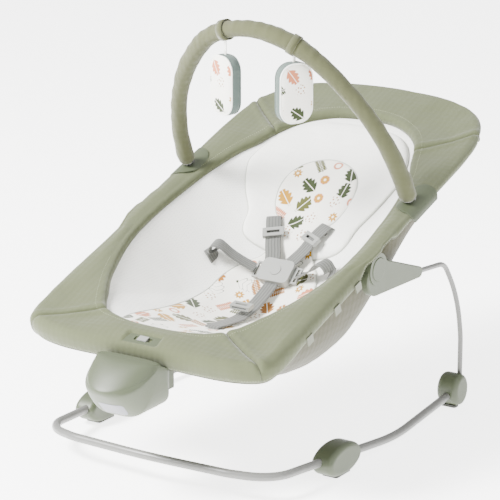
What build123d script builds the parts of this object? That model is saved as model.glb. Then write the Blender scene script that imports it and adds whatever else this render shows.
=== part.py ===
"""Baby bouncer seat: floor frame, spring rods, reclining padded seat, harness, toy bar and vibration unit.

Axes: +X is the baby's left, -Y the foot end, +Y the head end, +Z up. The origin is on the floor, under the
middle of the bounding box. The seat is drawn in its own plane, (x, s, n): s runs up the slope towards the
head, and n is the height above that plane.
"""
import os
from math import atan2, copysign, cos, degrees, hypot, pi, radians, sin, sqrt

from build123d import *

os.makedirs("parts", exist_ok=True)

# ------------------------------------------------------------------ clearances
slide_gap = 0.3          # between pieces that move on each other
soft_gap = 0.4           # between soft pieces and what they lie on
bore_gap = 0.15          # between a tube or pin and the hole it is fixed in

# ------------------------------------------------------------------ width
rim_half_width = 222.0   # half width of the seat, from which the frame, hubs, ring and toy bar take theirs

# ------------------------------------------------------------------ floor frame
tube_d = 13.0
tube_wall = 1.2
bar_y = -300.5           # middle of the front bar
bar_z = 41.0
joint_x = rim_half_width - 116.0      # joint between the front tube and each side tube
corner_x = rim_half_width - 18.0
corner_y = -270.5
corner_z = 37.0
corner_radius = 62.0
side_bow_x = rim_half_width + 10.0    # widest place of a side tube
side_bow_y = 35.5
side_bow_z = 13.5        # lowest place of a side tube
joiner_length = 32.0

front_foot_x = rim_half_width - 4.0
front_foot_y = -115.5
front_foot_length = 94.0
front_foot_height = 49.0
front_mouth_z = 25.5     # height of the tube at the middle of a front foot
rear_foot_x = rim_half_width - 5.0
rear_foot_y = 243.5
rear_foot_length = 46.0
rear_foot_height = 53.0
rear_mouth_z = 20.5
rear_screw_shift = -8.0
foot_width = 37.0
foot_round = 9.0
pad_height = 4.0
pad_inset = 5.0
foot_screw_d = 4.0
foot_screw_head_d = 7.5
foot_screw_head_height = 2.4

# ------------------------------------------------------------------ spring rods and arms
rod_d = 8.0
rod_foot_x = rim_half_width
rod_foot_y = 257.5
bounce_z = 40.0          # height of the bounce axis inside the rear feet
rod_bottom_z = 27.0
rod_flare = 1.6          # extra radius of the rod's hole at its mouth
rod_bends = (            # corners of the rod's path
    (rod_foot_x - 4.5, 206, 246), (rod_foot_x - 2.5, 249, 181), (rod_foot_x, rod_foot_y, 112),
)
rod_bend_radii = (34, 200, 180)

hub_y = -7.5            # recline axis
hub_z = 292.0
arm_inner_x = rim_half_width - 11.6
arm_outer_x = rim_half_width + 0.4
arm_wall = 1.9
arm_hub_radius = 29.0
arm_hub_drop = 13.0      # how far the middle of the arm's wide end is below the axis
arm_tip_radius = 9.0
arm_tip_reach = 129.0
arm_tip_drop = 38.0
arm_disc_radius = 25.0   # round boss about the button
arm_disc_proud = 1.4
arm_screw_d = 3.5
arm_screw_head_d = 6.5
arm_screw_length = 9.0

# ------------------------------------------------------------------ recline hub
socket_sleeve_d = 18.0
socket_sleeve_length = 92.0
socket_neck_radius = 10.0
socket_disc_radius = 24.0
socket_disc_x = rim_half_width - 15.0
socket_disc_thickness = 3.0
spigot_radius = 19.5
spigot_length = 5.0
gear_radius = 16.0
gear_tooth_depth = 2.0
gear_teeth = 12
gear_length = 6.7
gear_rest_x = rim_half_width - 9.5
lock_travel = 2.8
gear_pocket_x = gear_rest_x - lock_travel - 0.9      # with room behind the pressed gear
spring_pocket_x = rim_half_width - 24.0
spring_coil_radius = 5.5
spring_wire_d = 1.2
spring_turns = 5
retainer_thickness = 1.0
button_radius = 18.2
button_proud = 1.2
button_flange = 1.3

# ------------------------------------------------------------------ seat ring
seat_y = -23.5           # origin of the seat's plane
seat_z = 298.0
recline_deg = 18.0
ring_tube_d = 14.0
ring_tube_wall = 1.2
ring_x = rim_half_width - 23.5
ring_n = 6.0             # height of the tube's middle above the seat's plane
ring_front_s = -298.0
ring_front_corner_s = -287.0
ring_head_s = 450.0
ring_head_corner_s = 385.0
ring_front_radius = 34.0
ring_head_radius = 78.0
ring_insertion = 34.0    # how far each ring tube goes into a socket
socket_screw_d = 3.5
socket_screw_head_d = 6.5
socket_screw_head_height = 2.0
socket_screw_length = 5.5

rim_front_s = -312.0
rim_front_corner_s = -302.0
rim_head_s = 469.0
rim_head_corner_s = 400.0
rim_front_radius = 42.0
rim_head_radius = 96.0
rim_bottom = -12.0
rim_top = 18.0
rim_outer_round = 11.0
rim_inner_round = 7.0

# Stations along the seat: s, how much narrower the opening's half width is than the rim's, height n of
# the liner on the centre line.
opening_stations = (
    (-250, 138, 2), (-228, 110, -14), (-190, 85, -40), (-130, 56, -77), (-64, 40, -110),
    (-5, 34, -123), (55, 36, -108), (115, 41, -79), (175, 50, -51), (230, 62, -24),
    (285, 81, -5), (335, 110, 1), (372, 167, 3),
)
liner_edge_n = 4.0
liner_thickness = 6.0
opening_front_s = -257.0
opening_head_s = 380.0

# Stations along the sling under the seat: s, depth of its lowest line below the rim.
sling_stations = (
    (-262, 8), (-235, 44), (-190, 86), (-130, 120), (-64, 140), (-5, 145), (55, 127), (115, 94),
    (175, 60), (230, 36), (285, 18), (335, 9),
)
sling_half_width = rim_half_width - 22.0
sling_thickness = 3.0

head_pad_thickness = 8.0
head_pad_front = 102
head_pad_stations = ((102, 92), (150, 100), (180, 122), (230, 138), (285, 126), (335, 96), (350, 78))
insert_thickness = 5.0
insert_stations = (
    (-240, 80), (-190, 90), (-60, 90), (30, 84), (70, 66), (94, 46), (99, 40), (120, 33), (150, 33),
    (162, 56), (266, 16),
)
insert_circle_s = 200.0
insert_circle_radius = 68.0

# ------------------------------------------------------------------ toy bar
bar_clip_s = 152.0
bar_pivot_n = 29.5
bar_half_span = rim_half_width - 18.0
bar_height = 291.0
bar_top_radius = 145.0
bar_lean_deg = 26.0
bar_tube_d = 14.0
bar_tube_wall = 1.5
sleeve_d = 27.0
sleeve_start = 16.0      # how far above the pivot the sleeve begins
bar_plug_radius = 8.0
bar_plug_width = 13.0
bar_pin_d = 5.0
clip_length = 78.0
clip_thickness = 2.6
clip_flap_drop = 22.0
clip_inner_x = bar_half_span - 18.0

clip_stem = 12.0         # width and half length of the stem through the rim cover

window_s = -290.0        # switch window in the front of the rim
window_width = 62.0
window_length = 24.0
window_floor = 12.7
bracket_x = (4.0, 34.0)  # unit bracket under the front of the rim

tab_places = (-46, -108, -188)
tab_length = 16.0
tab_height = 14.0

toy_height = 90.0
toy_width = 54.0
toy_thickness = 22.0
toy_loop_width = 12.0
toy_loop_thickness = 2.5
toy_round = 22.0

# ------------------------------------------------------------------ harness
webbing_width = 25.0
webbing_thickness = 2.0
buckle_s = 62.0
buckle_length = 42.0
buckle_width = 56.0
buckle_thickness = 14.0
buckle_button_d = 18.0
buckle_button_travel = 2.5
buckle_lift = 4.0        # above the middle of the insert
shoulder_end_n = -70.0   # heights of the straps' ends at the buckle
waist_end_n = -86.0
crotch_end_n = -97.5

# ------------------------------------------------------------------ vibration unit
unit_half_width = 54.0
unit_front_y = -413.5
unit_wall = 2.5
unit_split_y = -332.5
panel_width = 44.0
panel_height = 28.0
panel_travel = 2.0
battery_d = 26.0
battery_length = 50.0
motor_d = 20.0
motor_length = 25.0
motor_x = -5.0           # shaft end of the motor
motor_y = -369.5
motor_z = 182.0
motor_shaft_d = 2.4
weight_radius = 9.0
weight_width = 8.0
unit_rear_y = -296.5
unit_widest_y = -339.5
battery_x = 0.0
battery_y = -319.0
battery_z = 146.0
door_width = 54.0
door_length = 24.0
bracket_rear_y = -275.0
bracket_front_y = -314.5
bezel_top = 16.5
unit_floor = 127.0

tilt = radians(recline_deg)
seat = Plane(origin=(0, seat_y, seat_z), x_dir=(1, 0, 0), z_dir=(0, -sin(tilt), cos(tilt)))


def seat_point(x, s, n):
    """World position of a place given in the seat's own plane."""
    return seat.from_local_coords((x, s, n))


def across_seat(s):
    """Plane square to the slope at s. Its local x is the world's, and its local y points below the seat."""
    return Plane(origin=seat_point(0, s, 0), x_dir=(1, 0, 0), z_dir=seat.y_dir)


def hub_plane(x):
    """Plane square to the recline axis, with its origin on that axis."""
    return Plane(origin=(x, hub_y, hub_z), x_dir=(0, 1, 0), z_dir=(1, 0, 0))


seat_stations = [(s, rim_half_width - inset, n) for s, inset, n in opening_stations]


def between(stations, s, column):
    """Value of a column at s, in a straight line between two stations."""
    for a, b in zip(stations, stations[1:]):
        if a[0] <= s <= b[0]:
            share = (s - a[0]) / (b[0] - a[0])
            return a[column] + share * (b[column] - a[column])
    raise ValueError(f"no station around {s}")


def liner_n(x, s, above=0.0):
    """Height of the liner's upper face."""
    half_width = between(seat_stations, s, 1)
    centre = between(seat_stations, s, 2)
    return liner_edge_n + (centre - liner_edge_n) * (1 - (x / half_width) ** 2) + above


def save(builder, name):
    builder.part.label = name
    export_step(builder.part, f"parts/{name}.step")


def save_pair(builder, name):
    """Writes the piece of the +X side as left_ and its mirror image as right_."""
    save(builder, f"left_{name}")
    with BuildPart() as other:
        mirror(builder.part, about=Plane.YZ)
    save(other, f"right_{name}")


# ================================================================== floor frame
joint_point = Vector(joint_x, bar_y + 7, bar_z - 1)
bar_middle = Vector(0, bar_y, bar_z)
bar_end = joint_point + (joint_point - bar_middle).normalized() * 34
corner_point = (corner_x, corner_y, corner_z)
front_mouth = (front_foot_x, front_foot_y, front_mouth_z)
bow_point = (side_bow_x, side_bow_y, side_bow_z)
rear_end = (rear_foot_x, rear_foot_y, rear_mouth_z)


def tube_along(path, outer_d, wall=0.0, mode=Mode.ADD):
    """Sweeps a tube, or a plain rod when wall is 0, along the path into the enclosing part."""
    with BuildSketch(Plane(origin=path @ 0, z_dir=path % 0)) as section:
        Circle(outer_d / 2)
        if wall:
            Circle(outer_d / 2 - wall, mode=Mode.SUBTRACT)
    sweep(sections=section.sketch, path=path, mode=mode)


with BuildPart() as front_floor_tube:
    with BuildLine() as bar_path:
        FilletPolyline((-joint_point.X, joint_point.Y, joint_point.Z), bar_middle, joint_point, radius=700)
    tube_along(bar_path.line, tube_d, tube_wall)
save(front_floor_tube, "front_floor_tube")


def side_tube(outer_d, wall):
    """The bent tube of the +X side, or a plain solid of it when wall is 0."""
    with BuildPart() as tube:
        with BuildLine() as path:
            FilletPolyline(
                joint_point, bar_end, corner_point, front_mouth, bow_point, rear_end,
                radius=(80, corner_radius, 300, 420),
            )
        tube_along(path.line, outer_d, wall)
    return tube, path.line


side_floor_tube, side_path = side_tube(tube_d, tube_wall)
save_pair(side_floor_tube, "floor_tube")
side_tube_space, _ = side_tube(tube_d + 2 * bore_gap, 0)

joiner_d = tube_d - 2 * tube_wall - 2 * bore_gap
with BuildPart() as tube_joiners:
    for end, direction in ((side_path @ 0, side_path % 0), (bar_path.line @ 0, bar_path.line % 0)):
        with BuildSketch(Plane(origin=end, z_dir=direction)):
            Circle(joiner_d / 2)
            Circle(joiner_d / 2 - 1.5, mode=Mode.SUBTRACT)
        extrude(amount=joiner_length / 2, both=True)
save(tube_joiners, "tube_joiners")


def puck(x, y, length, height, lower):
    """Rounded foot shell, flat at the height lower and round above."""
    with BuildPart() as foot:
        with BuildSketch(Plane(origin=(x - foot_width / 2, y, 0), x_dir=(0, 1, 0), z_dir=(1, 0, 0))):
            with Locations((0, height / 2)):
                Ellipse(length / 2, height / 2)
        extrude(amount=foot_width)
        fillet(foot.edges().filter_by(GeomType.ELLIPSE), radius=foot_round)
        with Locations((x, y, lower)):
            Box(2 * foot_width, 2 * length, height, align=(Align.CENTER, Align.CENTER, Align.MAX),
                mode=Mode.SUBTRACT)
    return foot.part


def foot_screw_hole(x, y):
    """Counterbored hole from the sole up to the tube."""
    with Locations((x, y, pad_height)):
        Cylinder(foot_screw_head_d / 2 + slide_gap, foot_screw_head_height + slide_gap,
                 align=(Align.CENTER, Align.CENTER, Align.MIN), mode=Mode.SUBTRACT)
        Cylinder(foot_screw_d / 2 + bore_gap, rear_mouth_z - pad_height,
                 align=(Align.CENTER, Align.CENTER, Align.MIN), mode=Mode.SUBTRACT)


with BuildPart() as front_foot:
    add(puck(front_foot_x, front_foot_y, front_foot_length, front_foot_height, pad_height))
    add(side_tube_space, mode=Mode.SUBTRACT)
    foot_screw_hole(front_foot_x, front_foot_y)
save_pair(front_foot, "front_foot")

arm_run = (arm_tip_reach, arm_hub_drop - arm_tip_drop)
arm_length = hypot(*arm_run)
arm_along = (arm_run[0] / arm_length, arm_run[1] / arm_length)
rod_top_x = (arm_inner_x + arm_outer_x) / 2
rod_start = 1.35 * arm_hub_radius


def on_arm(distance, sideways=0.0):
    """Place in the hub's plane, along the arm from the middle of its wide end and sideways from there."""
    return (
        distance * arm_along[0] - sideways * arm_along[1],
        distance * arm_along[1] + sideways * arm_along[0] - arm_hub_drop,
    )


def rod_point(distance):
    """World position on the middle line of the arm, where the rod lies."""
    y, z = on_arm(distance)
    return (rod_top_x, hub_y + y, hub_z + z)


with BuildPart() as spring_rod:
    with BuildLine() as rod_path:
        FilletPolyline(
            rod_point(rod_start), rod_point(arm_length), *rod_bends,
            (rod_foot_x, rod_foot_y, rod_bottom_z), radius=(60, *rod_bend_radii),
        )
    tube_along(rod_path.line, rod_d)
save_pair(spring_rod, "spring_rod")

with BuildPart() as rod_space:
    tube_along(rod_path.line, rod_d + 2 * bore_gap)

with BuildPart() as rear_foot:
    add(puck(rear_foot_x, rear_foot_y, rear_foot_length, rear_foot_height, pad_height))
    add(side_tube_space, mode=Mode.SUBTRACT)
    foot_screw_hole(rear_foot_x, rear_foot_y + rear_screw_shift)
    neck = rod_d / 2 + slide_gap
    with BuildSketch(Plane(origin=(rod_foot_x, rod_foot_y, 0), x_dir=(1, 0, 0), z_dir=(0, -1, 0))):
        with BuildLine():
            Polyline(
                (0, rod_bottom_z - 1), (neck + rod_flare, rod_bottom_z - 1), (neck, bounce_z),
                (neck + rod_flare, rear_foot_height + 1), (0, rear_foot_height + 1), close=True,
            )
        make_face()
    revolve(axis=Axis((rod_foot_x, rod_foot_y, 0), (0, 0, 1)), mode=Mode.SUBTRACT)
save_pair(rear_foot, "rear_foot")

feet = (
    (front_foot_x, front_foot_y, front_foot_length, front_foot_height, front_mouth_z),
    (rear_foot_x, rear_foot_y + rear_screw_shift, rear_foot_length, rear_foot_height, rear_mouth_z),
)
with BuildPart() as foot_pads:
    for x, y, length, height, tube_z in feet:
        sole = length * sqrt(1 - (1 - 2 * pad_height / height) ** 2)
        for side in (-1, 1):
            with BuildSketch(Plane.XY):
                with Locations((side * x, y)):
                    RectangleRounded(foot_width - 2 * pad_inset, sole - 2 * pad_inset, radius=4)
                    Circle(foot_screw_head_d / 2 + 1, mode=Mode.SUBTRACT)
            extrude(amount=pad_height)
save(foot_pads, "foot_pads")

with BuildPart() as foot_screws:
    for x, y, length, height, tube_z in feet:
        for side in (-1, 1):
            with Locations((side * x, y, pad_height + slide_gap)):
                Cylinder(foot_screw_head_d / 2, foot_screw_head_height,
                         align=(Align.CENTER, Align.CENTER, Align.MIN))
                Cylinder(foot_screw_d / 2, tube_z - tube_d / 2 - pad_height - 1,
                         align=(Align.CENTER, Align.CENTER, Align.MIN))
save(foot_screws, "foot_screws")


# ================================================================== arms and recline hub (+X side)
hub_bore = spigot_radius + slide_gap
spigot_end_x = socket_disc_x + socket_disc_thickness + spigot_length
ring_end_x = spigot_end_x + 0.2 + retainer_thickness + 0.5       # inner end of the cover's lock ring
face_x = arm_outer_x - arm_wall
arm_screws_at = (on_arm(0, -0.7 * arm_hub_radius), on_arm(0.55 * arm_length, -1.3 * rod_d))


def extrude_from(x, sketch, thickness, mode=Mode.ADD):
    """Extrudes a flat sketch outwards from the plane square to the recline axis at x."""
    extrude(hub_plane(x).location * sketch, amount=thickness, mode=mode)


def disc(outer, inner=0.0, centre=(0, 0)):
    with BuildSketch() as ring:
        with Locations(centre):
            Circle(outer)
            if inner:
                Circle(inner, mode=Mode.SUBTRACT)
    return ring.sketch


def arm_outline(inset=0.0):
    """Leaf outline of the arm, from the hub back and down to the rod."""
    with BuildSketch() as outline:
        with Locations(on_arm(0)):
            Circle(arm_hub_radius - inset)
        with Locations(on_arm(arm_length)):
            Circle(arm_tip_radius - inset)
        make_hull()
    return outline.sketch


def saddles():
    """Blocks of the arm that hold the rod."""
    with BuildSketch() as blocks:
        with Locations([Location((*on_arm(distance), 0), (0, 0, degrees(atan2(arm_along[1], arm_along[0]))))
                        for distance in (rod_start + 9, arm_length - 24)]):
            Rectangle(9, 2.2 * rod_d)
    return blocks.sketch


def gear_sketch(extra=0.0):
    """Straight-toothed lock wheel, or the space for it with extra room."""
    root = gear_radius - gear_tooth_depth + extra
    with BuildSketch() as wheel:
        Circle(root)
        with PolarLocations(root, gear_teeth):
            Rectangle(2 * gear_tooth_depth, pi * root / gear_teeth + 2 * extra)
    return wheel.sketch


with BuildPart() as arm_base:
    extrude_from(arm_inner_x, arm_outline(), arm_wall)
    extrude_from(arm_inner_x, disc(hub_bore + 3.2), spigot_end_x - 0.1 - arm_inner_x)
    extrude_from(arm_inner_x, saddles(), rod_top_x - 0.1 - arm_inner_x)
    extrude_from(arm_inner_x - 1, disc(hub_bore), arm_outer_x - arm_inner_x, mode=Mode.SUBTRACT)
    add(rod_space, mode=Mode.SUBTRACT)
    for centre in arm_screws_at:
        extrude_from(arm_inner_x - 1, disc(arm_screw_d / 2 + bore_gap, centre=centre), arm_wall + 2,
                     mode=Mode.SUBTRACT)
save_pair(arm_base, "arm_base")

with BuildPart() as arm_cover:
    cover_x = arm_inner_x + arm_wall
    extrude_from(cover_x, arm_outline(), arm_outer_x - cover_x)
    fillet(arm_cover.edges().group_by(Axis.X)[-1], radius=2.5)
    extrude_from(cover_x, disc(arm_disc_radius), arm_outer_x + arm_disc_proud - cover_x)
    extrude_from(cover_x, arm_outline(arm_wall) + disc(arm_disc_radius - arm_wall), face_x - cover_x,
                 mode=Mode.SUBTRACT)
    extrude_from(rod_top_x + 0.1, saddles(), face_x - rod_top_x)
    button_hole = button_radius + button_flange + slide_gap
    extrude_from(ring_end_x, disc(button_hole + 2, button_hole), face_x - ring_end_x)
    for centre in arm_screws_at:
        extrude_from(cover_x, disc(arm_screw_d / 2 + 2, arm_screw_d / 2 + bore_gap, centre),
                     face_x - cover_x)
    extrude_from(face_x - 1, disc(button_radius + slide_gap), arm_wall + 5, mode=Mode.SUBTRACT)
    add(rod_space, mode=Mode.SUBTRACT)
save_pair(arm_cover, "arm_cover")

with BuildPart() as arm_screws:
    for centre in arm_screws_at:
        extrude_from(arm_inner_x - 1.7, disc(arm_screw_head_d / 2, centre=centre), 1.7)
        extrude_from(arm_inner_x, disc(arm_screw_d / 2, centre=centre), arm_screw_length)
    mirror(about=Plane.YZ)
save(arm_screws, "arm_screws")

with BuildPart() as hub_button:
    button_x = gear_rest_x + gear_length
    extrude_from(button_x, disc(button_radius), arm_outer_x + arm_disc_proud + button_proud - button_x)
    fillet(hub_button.edges().group_by(Axis.X)[-1], radius=1.5)
    extrude_from(button_x, disc(button_radius + button_flange), face_x - slide_gap - button_x)
save_pair(hub_button, "hub_button")

with BuildPart() as lock_gear:
    extrude_from(gear_rest_x, gear_sketch(), gear_length)
save_pair(lock_gear, "lock_gear")

with BuildPart() as lock_spring:
    coil_height = gear_rest_x - spring_pocket_x - spring_wire_d
    with BuildLine() as coil:
        Helix(pitch=coil_height / spring_turns, height=coil_height, radius=spring_coil_radius,
              center=(spring_pocket_x + spring_wire_d / 2, hub_y, hub_z), direction=(1, 0, 0))
    with BuildSketch(Plane(origin=coil.line @ 0, z_dir=coil.line % 0)) as section:
        Rectangle(spring_wire_d, spring_wire_d)
    sweep(sections=section.sketch, path=coil.line, is_frenet=True)
save_pair(lock_spring, "lock_spring")

with BuildPart() as hub_retainers:
    extrude_from(spigot_end_x + 0.2, disc(hub_bore + 2.9, gear_radius + 1), retainer_thickness)
    mirror(about=Plane.YZ)
save(hub_retainers, "hub_retainers")


# ================================================================== seat ring
def seat_path(points, radii):
    """Bent path in the plane of the ring tubes."""
    with BuildLine() as path:
        FilletPolyline(*(seat_point(x, s, ring_n) for x, s in points), radius=radii)
    return path.line


inner_end = socket_sleeve_length / 2 - ring_insertion
front_ring_path = seat_path(
    ((ring_x, -inner_end), (ring_x, ring_front_corner_s), (0, ring_front_s),
     (-ring_x, ring_front_corner_s), (-ring_x, -inner_end)), (ring_front_radius, 600, ring_front_radius))
rear_ring_path = seat_path(
    ((ring_x, inner_end), (ring_x, ring_head_corner_s), (0, ring_head_s),
     (-ring_x, ring_head_corner_s), (-ring_x, inner_end)), (ring_head_radius, 250, ring_head_radius))
socket_screw_s = (inner_end + socket_sleeve_length / 2) / 2
screw_head_n = ring_n - socket_sleeve_d / 2 + 0.8


def screw_place(x, s):
    """Plane of a socket screw's head, pointing up into the tube."""
    return Plane(origin=seat_point(x, s, screw_head_n), x_dir=(1, 0, 0), z_dir=seat.z_dir)


def screw_hole(place, mode=Mode.SUBTRACT, extra=bore_gap):
    """Seat screw at a plane, or the counterbored hole for it."""
    with Locations(place.location):
        Cylinder(socket_screw_head_d / 2 + extra, socket_screw_head_height + extra,
                 align=(Align.CENTER, Align.CENTER, Align.MIN), mode=mode)
        Cylinder(socket_screw_d / 2 + extra, socket_screw_length + extra,
                 align=(Align.CENTER, Align.CENTER, Align.MIN), mode=mode)


socket_screw_places = [screw_place(x, s) for x in (-ring_x, ring_x)
                       for s in (-socket_screw_s, socket_screw_s)]

for path, name in ((front_ring_path, "front_ring_tube"), (rear_ring_path, "rear_ring_tube")):
    with BuildPart() as ring_tube:
        tube_along(path, ring_tube_d, ring_tube_wall)
        for place in socket_screw_places:
            screw_hole(place)
    save(ring_tube, name)

socket_axis = Plane(origin=seat_point(ring_x, 0, ring_n), x_dir=(1, 0, 0), z_dir=seat.y_dir)
with BuildPart() as seat_socket:
    with Locations(socket_axis.location):
        Cylinder(socket_sleeve_d / 2, socket_sleeve_length)
    extrude_from(spring_pocket_x - 2, disc(socket_neck_radius), socket_disc_x - spring_pocket_x + 2)
    extrude_from(socket_disc_x, disc(socket_disc_radius), socket_disc_thickness)
    extrude_from(socket_disc_x, disc(spigot_radius), spigot_end_x - socket_disc_x)
    extrude_from(gear_pocket_x, gear_sketch(slide_gap), spigot_end_x - gear_pocket_x + 1, mode=Mode.SUBTRACT)
    extrude_from(spring_pocket_x, disc(spring_coil_radius + 2.5), gear_pocket_x - spring_pocket_x + 1,
                 mode=Mode.SUBTRACT)
    for shift in (-1, 1):
        with Locations((socket_axis.offset(shift * (inner_end + ring_insertion / 2 + 1))).location):
            Cylinder(ring_tube_d / 2 + bore_gap, ring_insertion + 2, mode=Mode.SUBTRACT)
    for place in socket_screw_places:
        screw_hole(place)
save_pair(seat_socket, "seat_socket")


# ================================================================== rim cover
def seat_box(x, s, n, mode=Mode.ADD):
    """Box between pairs of seat coordinates."""
    centre = seat_point(sum(x) / 2, sum(s) / 2, sum(n) / 2)
    with Locations(Plane(origin=centre, x_dir=seat.x_dir, z_dir=seat.z_dir).location):
        Box(x[1] - x[0], s[1] - s[0], n[1] - n[0], mode=mode)


opening_side = [(half_width, s) for s, half_width, _ in seat_stations]
opening = (
    [(0, opening_front_s)] + opening_side + [(0, opening_head_s)]
    + [(-x, s) for x, s in reversed(opening_side)]
)
hub_in_seat = seat.to_local_coords(Vector(0, hub_y, hub_z))
hub_s, hub_n = hub_in_seat.Y, hub_in_seat.Z
arm_clear_n = hub_n - arm_hub_drop + arm_hub_radius + 4      # the rim is cut away below this beside the arms
with BuildPart() as rim_cover:
    with BuildSketch(seat.offset(rim_bottom)):
        with BuildLine():
            FilletPolyline(
                (0, rim_front_s), (rim_half_width, rim_front_corner_s), (rim_half_width, rim_head_corner_s),
                (0, rim_head_s), (-rim_half_width, rim_head_corner_s), (-rim_half_width, rim_front_corner_s),
                radius=(600, rim_front_radius, rim_head_radius, 250, rim_head_radius, rim_front_radius),
                close=True,
            )
        make_face()
        with BuildLine():
            Spline(*opening, periodic=True)
        make_face(mode=Mode.SUBTRACT)
    extrude(amount=rim_top - rim_bottom)
    flats = rim_cover.faces().sort_by(Axis(seat.origin, seat.z_dir))
    outer_edges = [edge for flat in (flats[0], flats[-1]) for edge in flat.outer_wire().edges()]
    inner_edges = [edge for flat in (flats[0], flats[-1]) for edge in flat.inner_wires()[0].edges()]
    fillet(outer_edges, radius=rim_outer_round)
    fillet(inner_edges, radius=rim_inner_round)
    for path in (front_ring_path, rear_ring_path):
        tube_along(path, ring_tube_d + 2 * soft_gap, mode=Mode.SUBTRACT)
    for side in (-1, 1):
        with Locations(Plane(origin=seat_point(side * ring_x, 0, ring_n), z_dir=seat.y_dir).location):
            Cylinder(socket_sleeve_d / 2 + soft_gap, socket_sleeve_length + 2 * soft_gap, mode=Mode.SUBTRACT)
        neck_x = sorted((side * (spring_pocket_x - 2.5), side * (rim_half_width + 2)))
        disc_x = sorted((side * (socket_disc_x - soft_gap), side * (rim_half_width + 2)))
        for (low, high), radius in ((neck_x, socket_neck_radius), (disc_x, arm_disc_radius)):
            extrude_from(low, disc(radius + soft_gap), high - low, mode=Mode.SUBTRACT)
        seat_box(neck_x, (hub_s - socket_neck_radius - soft_gap, hub_s + socket_neck_radius + soft_gap),
                 (rim_bottom - 2, hub_n), mode=Mode.SUBTRACT)
        seat_box(disc_x, (hub_s - 1.5 * arm_hub_radius, hub_s + 1.9 * arm_hub_radius),
                 (rim_bottom - 2, arm_clear_n), mode=Mode.SUBTRACT)
        stem = sorted(side * (ring_x + way * (clip_stem / 2 + soft_gap)) for way in (-1, 1))
        seat_box(stem, (bar_clip_s - clip_stem - soft_gap, bar_clip_s + clip_stem + soft_gap),
                 (ring_n, rim_top + 1), mode=Mode.SUBTRACT)
    seat_box((-window_width / 2, window_width / 2),
             (window_s - window_length / 2, window_s + window_length / 2),
             (window_floor, rim_top + 1), mode=Mode.SUBTRACT)
    seat_box((bracket_x[0] - 1, bracket_x[1] + 1), (ring_front_s - 8, ring_front_s + 9),
             (rim_bottom - 1, ring_n), mode=Mode.SUBTRACT)
save(rim_cover, "rim_cover")

with BuildPart() as snap_tabs:
    for side in (-1, 1):
        for s in tab_places:
            seat_box(sorted((side * (rim_half_width + slide_gap), side * (rim_half_width + 2))),
                     (s - tab_length / 2, s + tab_length / 2), (rim_bottom, rim_bottom + tab_height))
save(snap_tabs, "snap_tabs")


# ================================================================== sling, liner and pads
def sling_line(depth, half_width):
    """Half-round line of the sling, deep in the middle and steep at the rim."""
    turns = [pi * step / 16 for step in range(17)]
    return [(-half_width * copysign(sqrt(abs(cos(turn))), cos(turn)), depth * sin(turn)) for turn in turns]


sling_sections = []
for s, depth in sling_stations:
    with BuildSketch(across_seat(s)) as section:
        with BuildLine():
            top = -rim_bottom + slide_gap
            outer = [(x, top + y) for x, y in sling_line(depth, sling_half_width)]
            inner = [(x, top + y) for x, y in
                     sling_line(depth - sling_thickness, sling_half_width - sling_thickness)]
            Spline(*outer)
            Spline(*inner)
            Line(outer[0], inner[0])
            Line(outer[-1], inner[-1])
        make_face()
    sling_sections.append(section.sketch)
with BuildPart() as seat_sling:
    loft(sections=sling_sections, ruled=True)
    for side in (-1, 1):
        low, high = sorted((side * (spring_pocket_x - 3), side * (socket_disc_x + 10)))
        extrude_from(low, disc(socket_neck_radius + soft_gap), high - low, mode=Mode.SUBTRACT)
save(seat_sling, "seat_sling")


def pad(stations, thickness):
    """Sheet over the liner's upper face, through (s, half width, height above the liner)."""
    sections = []
    for s, half_width, above in stations:
        edge = -liner_n(half_width, s, above)
        pull = -2 * liner_n(0, s, above) - edge
        with BuildSketch(across_seat(s)) as section:
            with BuildLine():
                Bezier((-half_width, edge), (0, pull), (half_width, edge))
                Bezier((-half_width, edge - thickness), (0, pull - thickness), (half_width, edge - thickness))
                Line((-half_width, edge), (-half_width, edge - thickness))
                Line((half_width, edge), (half_width, edge - thickness))
            make_face()
        sections.append(section.sketch)
    loft(sections=sections, ruled=True)


def strap_plane(start, end):
    """Plane along a strap: local x runs from start to end, local y is the height above the seat's plane."""
    along = (seat_point(*end, 0) - seat_point(*start, 0)).normalized()
    return Plane(origin=seat_point(*start, 0), x_dir=along, z_dir=along.cross(seat.z_dir))


def strap(start, end, start_n, end_n, tail):
    """Webbing from a slot at start to its fitting at end, with a tail going down through the slot."""
    length = hypot(end[0] - start[0], end[1] - start[1])
    with BuildSketch(strap_plane(start, end)) as side:
        with BuildLine():
            Polyline((0, start_n - tail), (0, start_n), (length, end_n))
        trace(line_width=webbing_thickness)
    extrude(side.sketch, amount=webbing_width / 2, both=True)


def strap_slot(start, end, n):
    """Slot for a strap through everything near the height n."""
    with Locations((strap_plane(start, end) * Location((0, n, 0)))):
        Box(webbing_thickness + 2 * soft_gap, 50, webbing_width + 2 * soft_gap, mode=Mode.SUBTRACT)


# Straps: place of the slot, place of the fitting, each as (x, s).
shoulder_straps_at = [((side * 50, 147), (side * 20, 86)) for side in (-1, 1)]
waist_straps_at = [((side * 104, 48), (side * 48, 60)) for side in (-1, 1)]
crotch_strap_at = ((0, -128), (0, 37))
strap_lift = soft_gap + webbing_thickness / 2
on_insert = soft_gap + insert_thickness
on_head_pad = 2 * soft_gap + head_pad_thickness + insert_thickness

with BuildPart() as seat_liner:
    pad([(s, half_width - soft_gap, -liner_thickness) for s, half_width, _ in seat_stations], liner_thickness)
    for start, end in (*shoulder_straps_at, *waist_straps_at, crotch_strap_at):
        strap_slot(start, end, liner_n(*start))
save(seat_liner, "seat_liner")

with BuildPart() as head_support:
    places = sorted({*range(head_pad_front, 350, 15), *(s for s, *_ in seat_stations if 100 < s < 350), 350})
    pad([(s, between(head_pad_stations, s, 1), soft_gap) for s in places], head_pad_thickness)
    for start, end in shoulder_straps_at:
        strap_slot(start, end, liner_n(*start))
save(head_support, "head_support")


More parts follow.
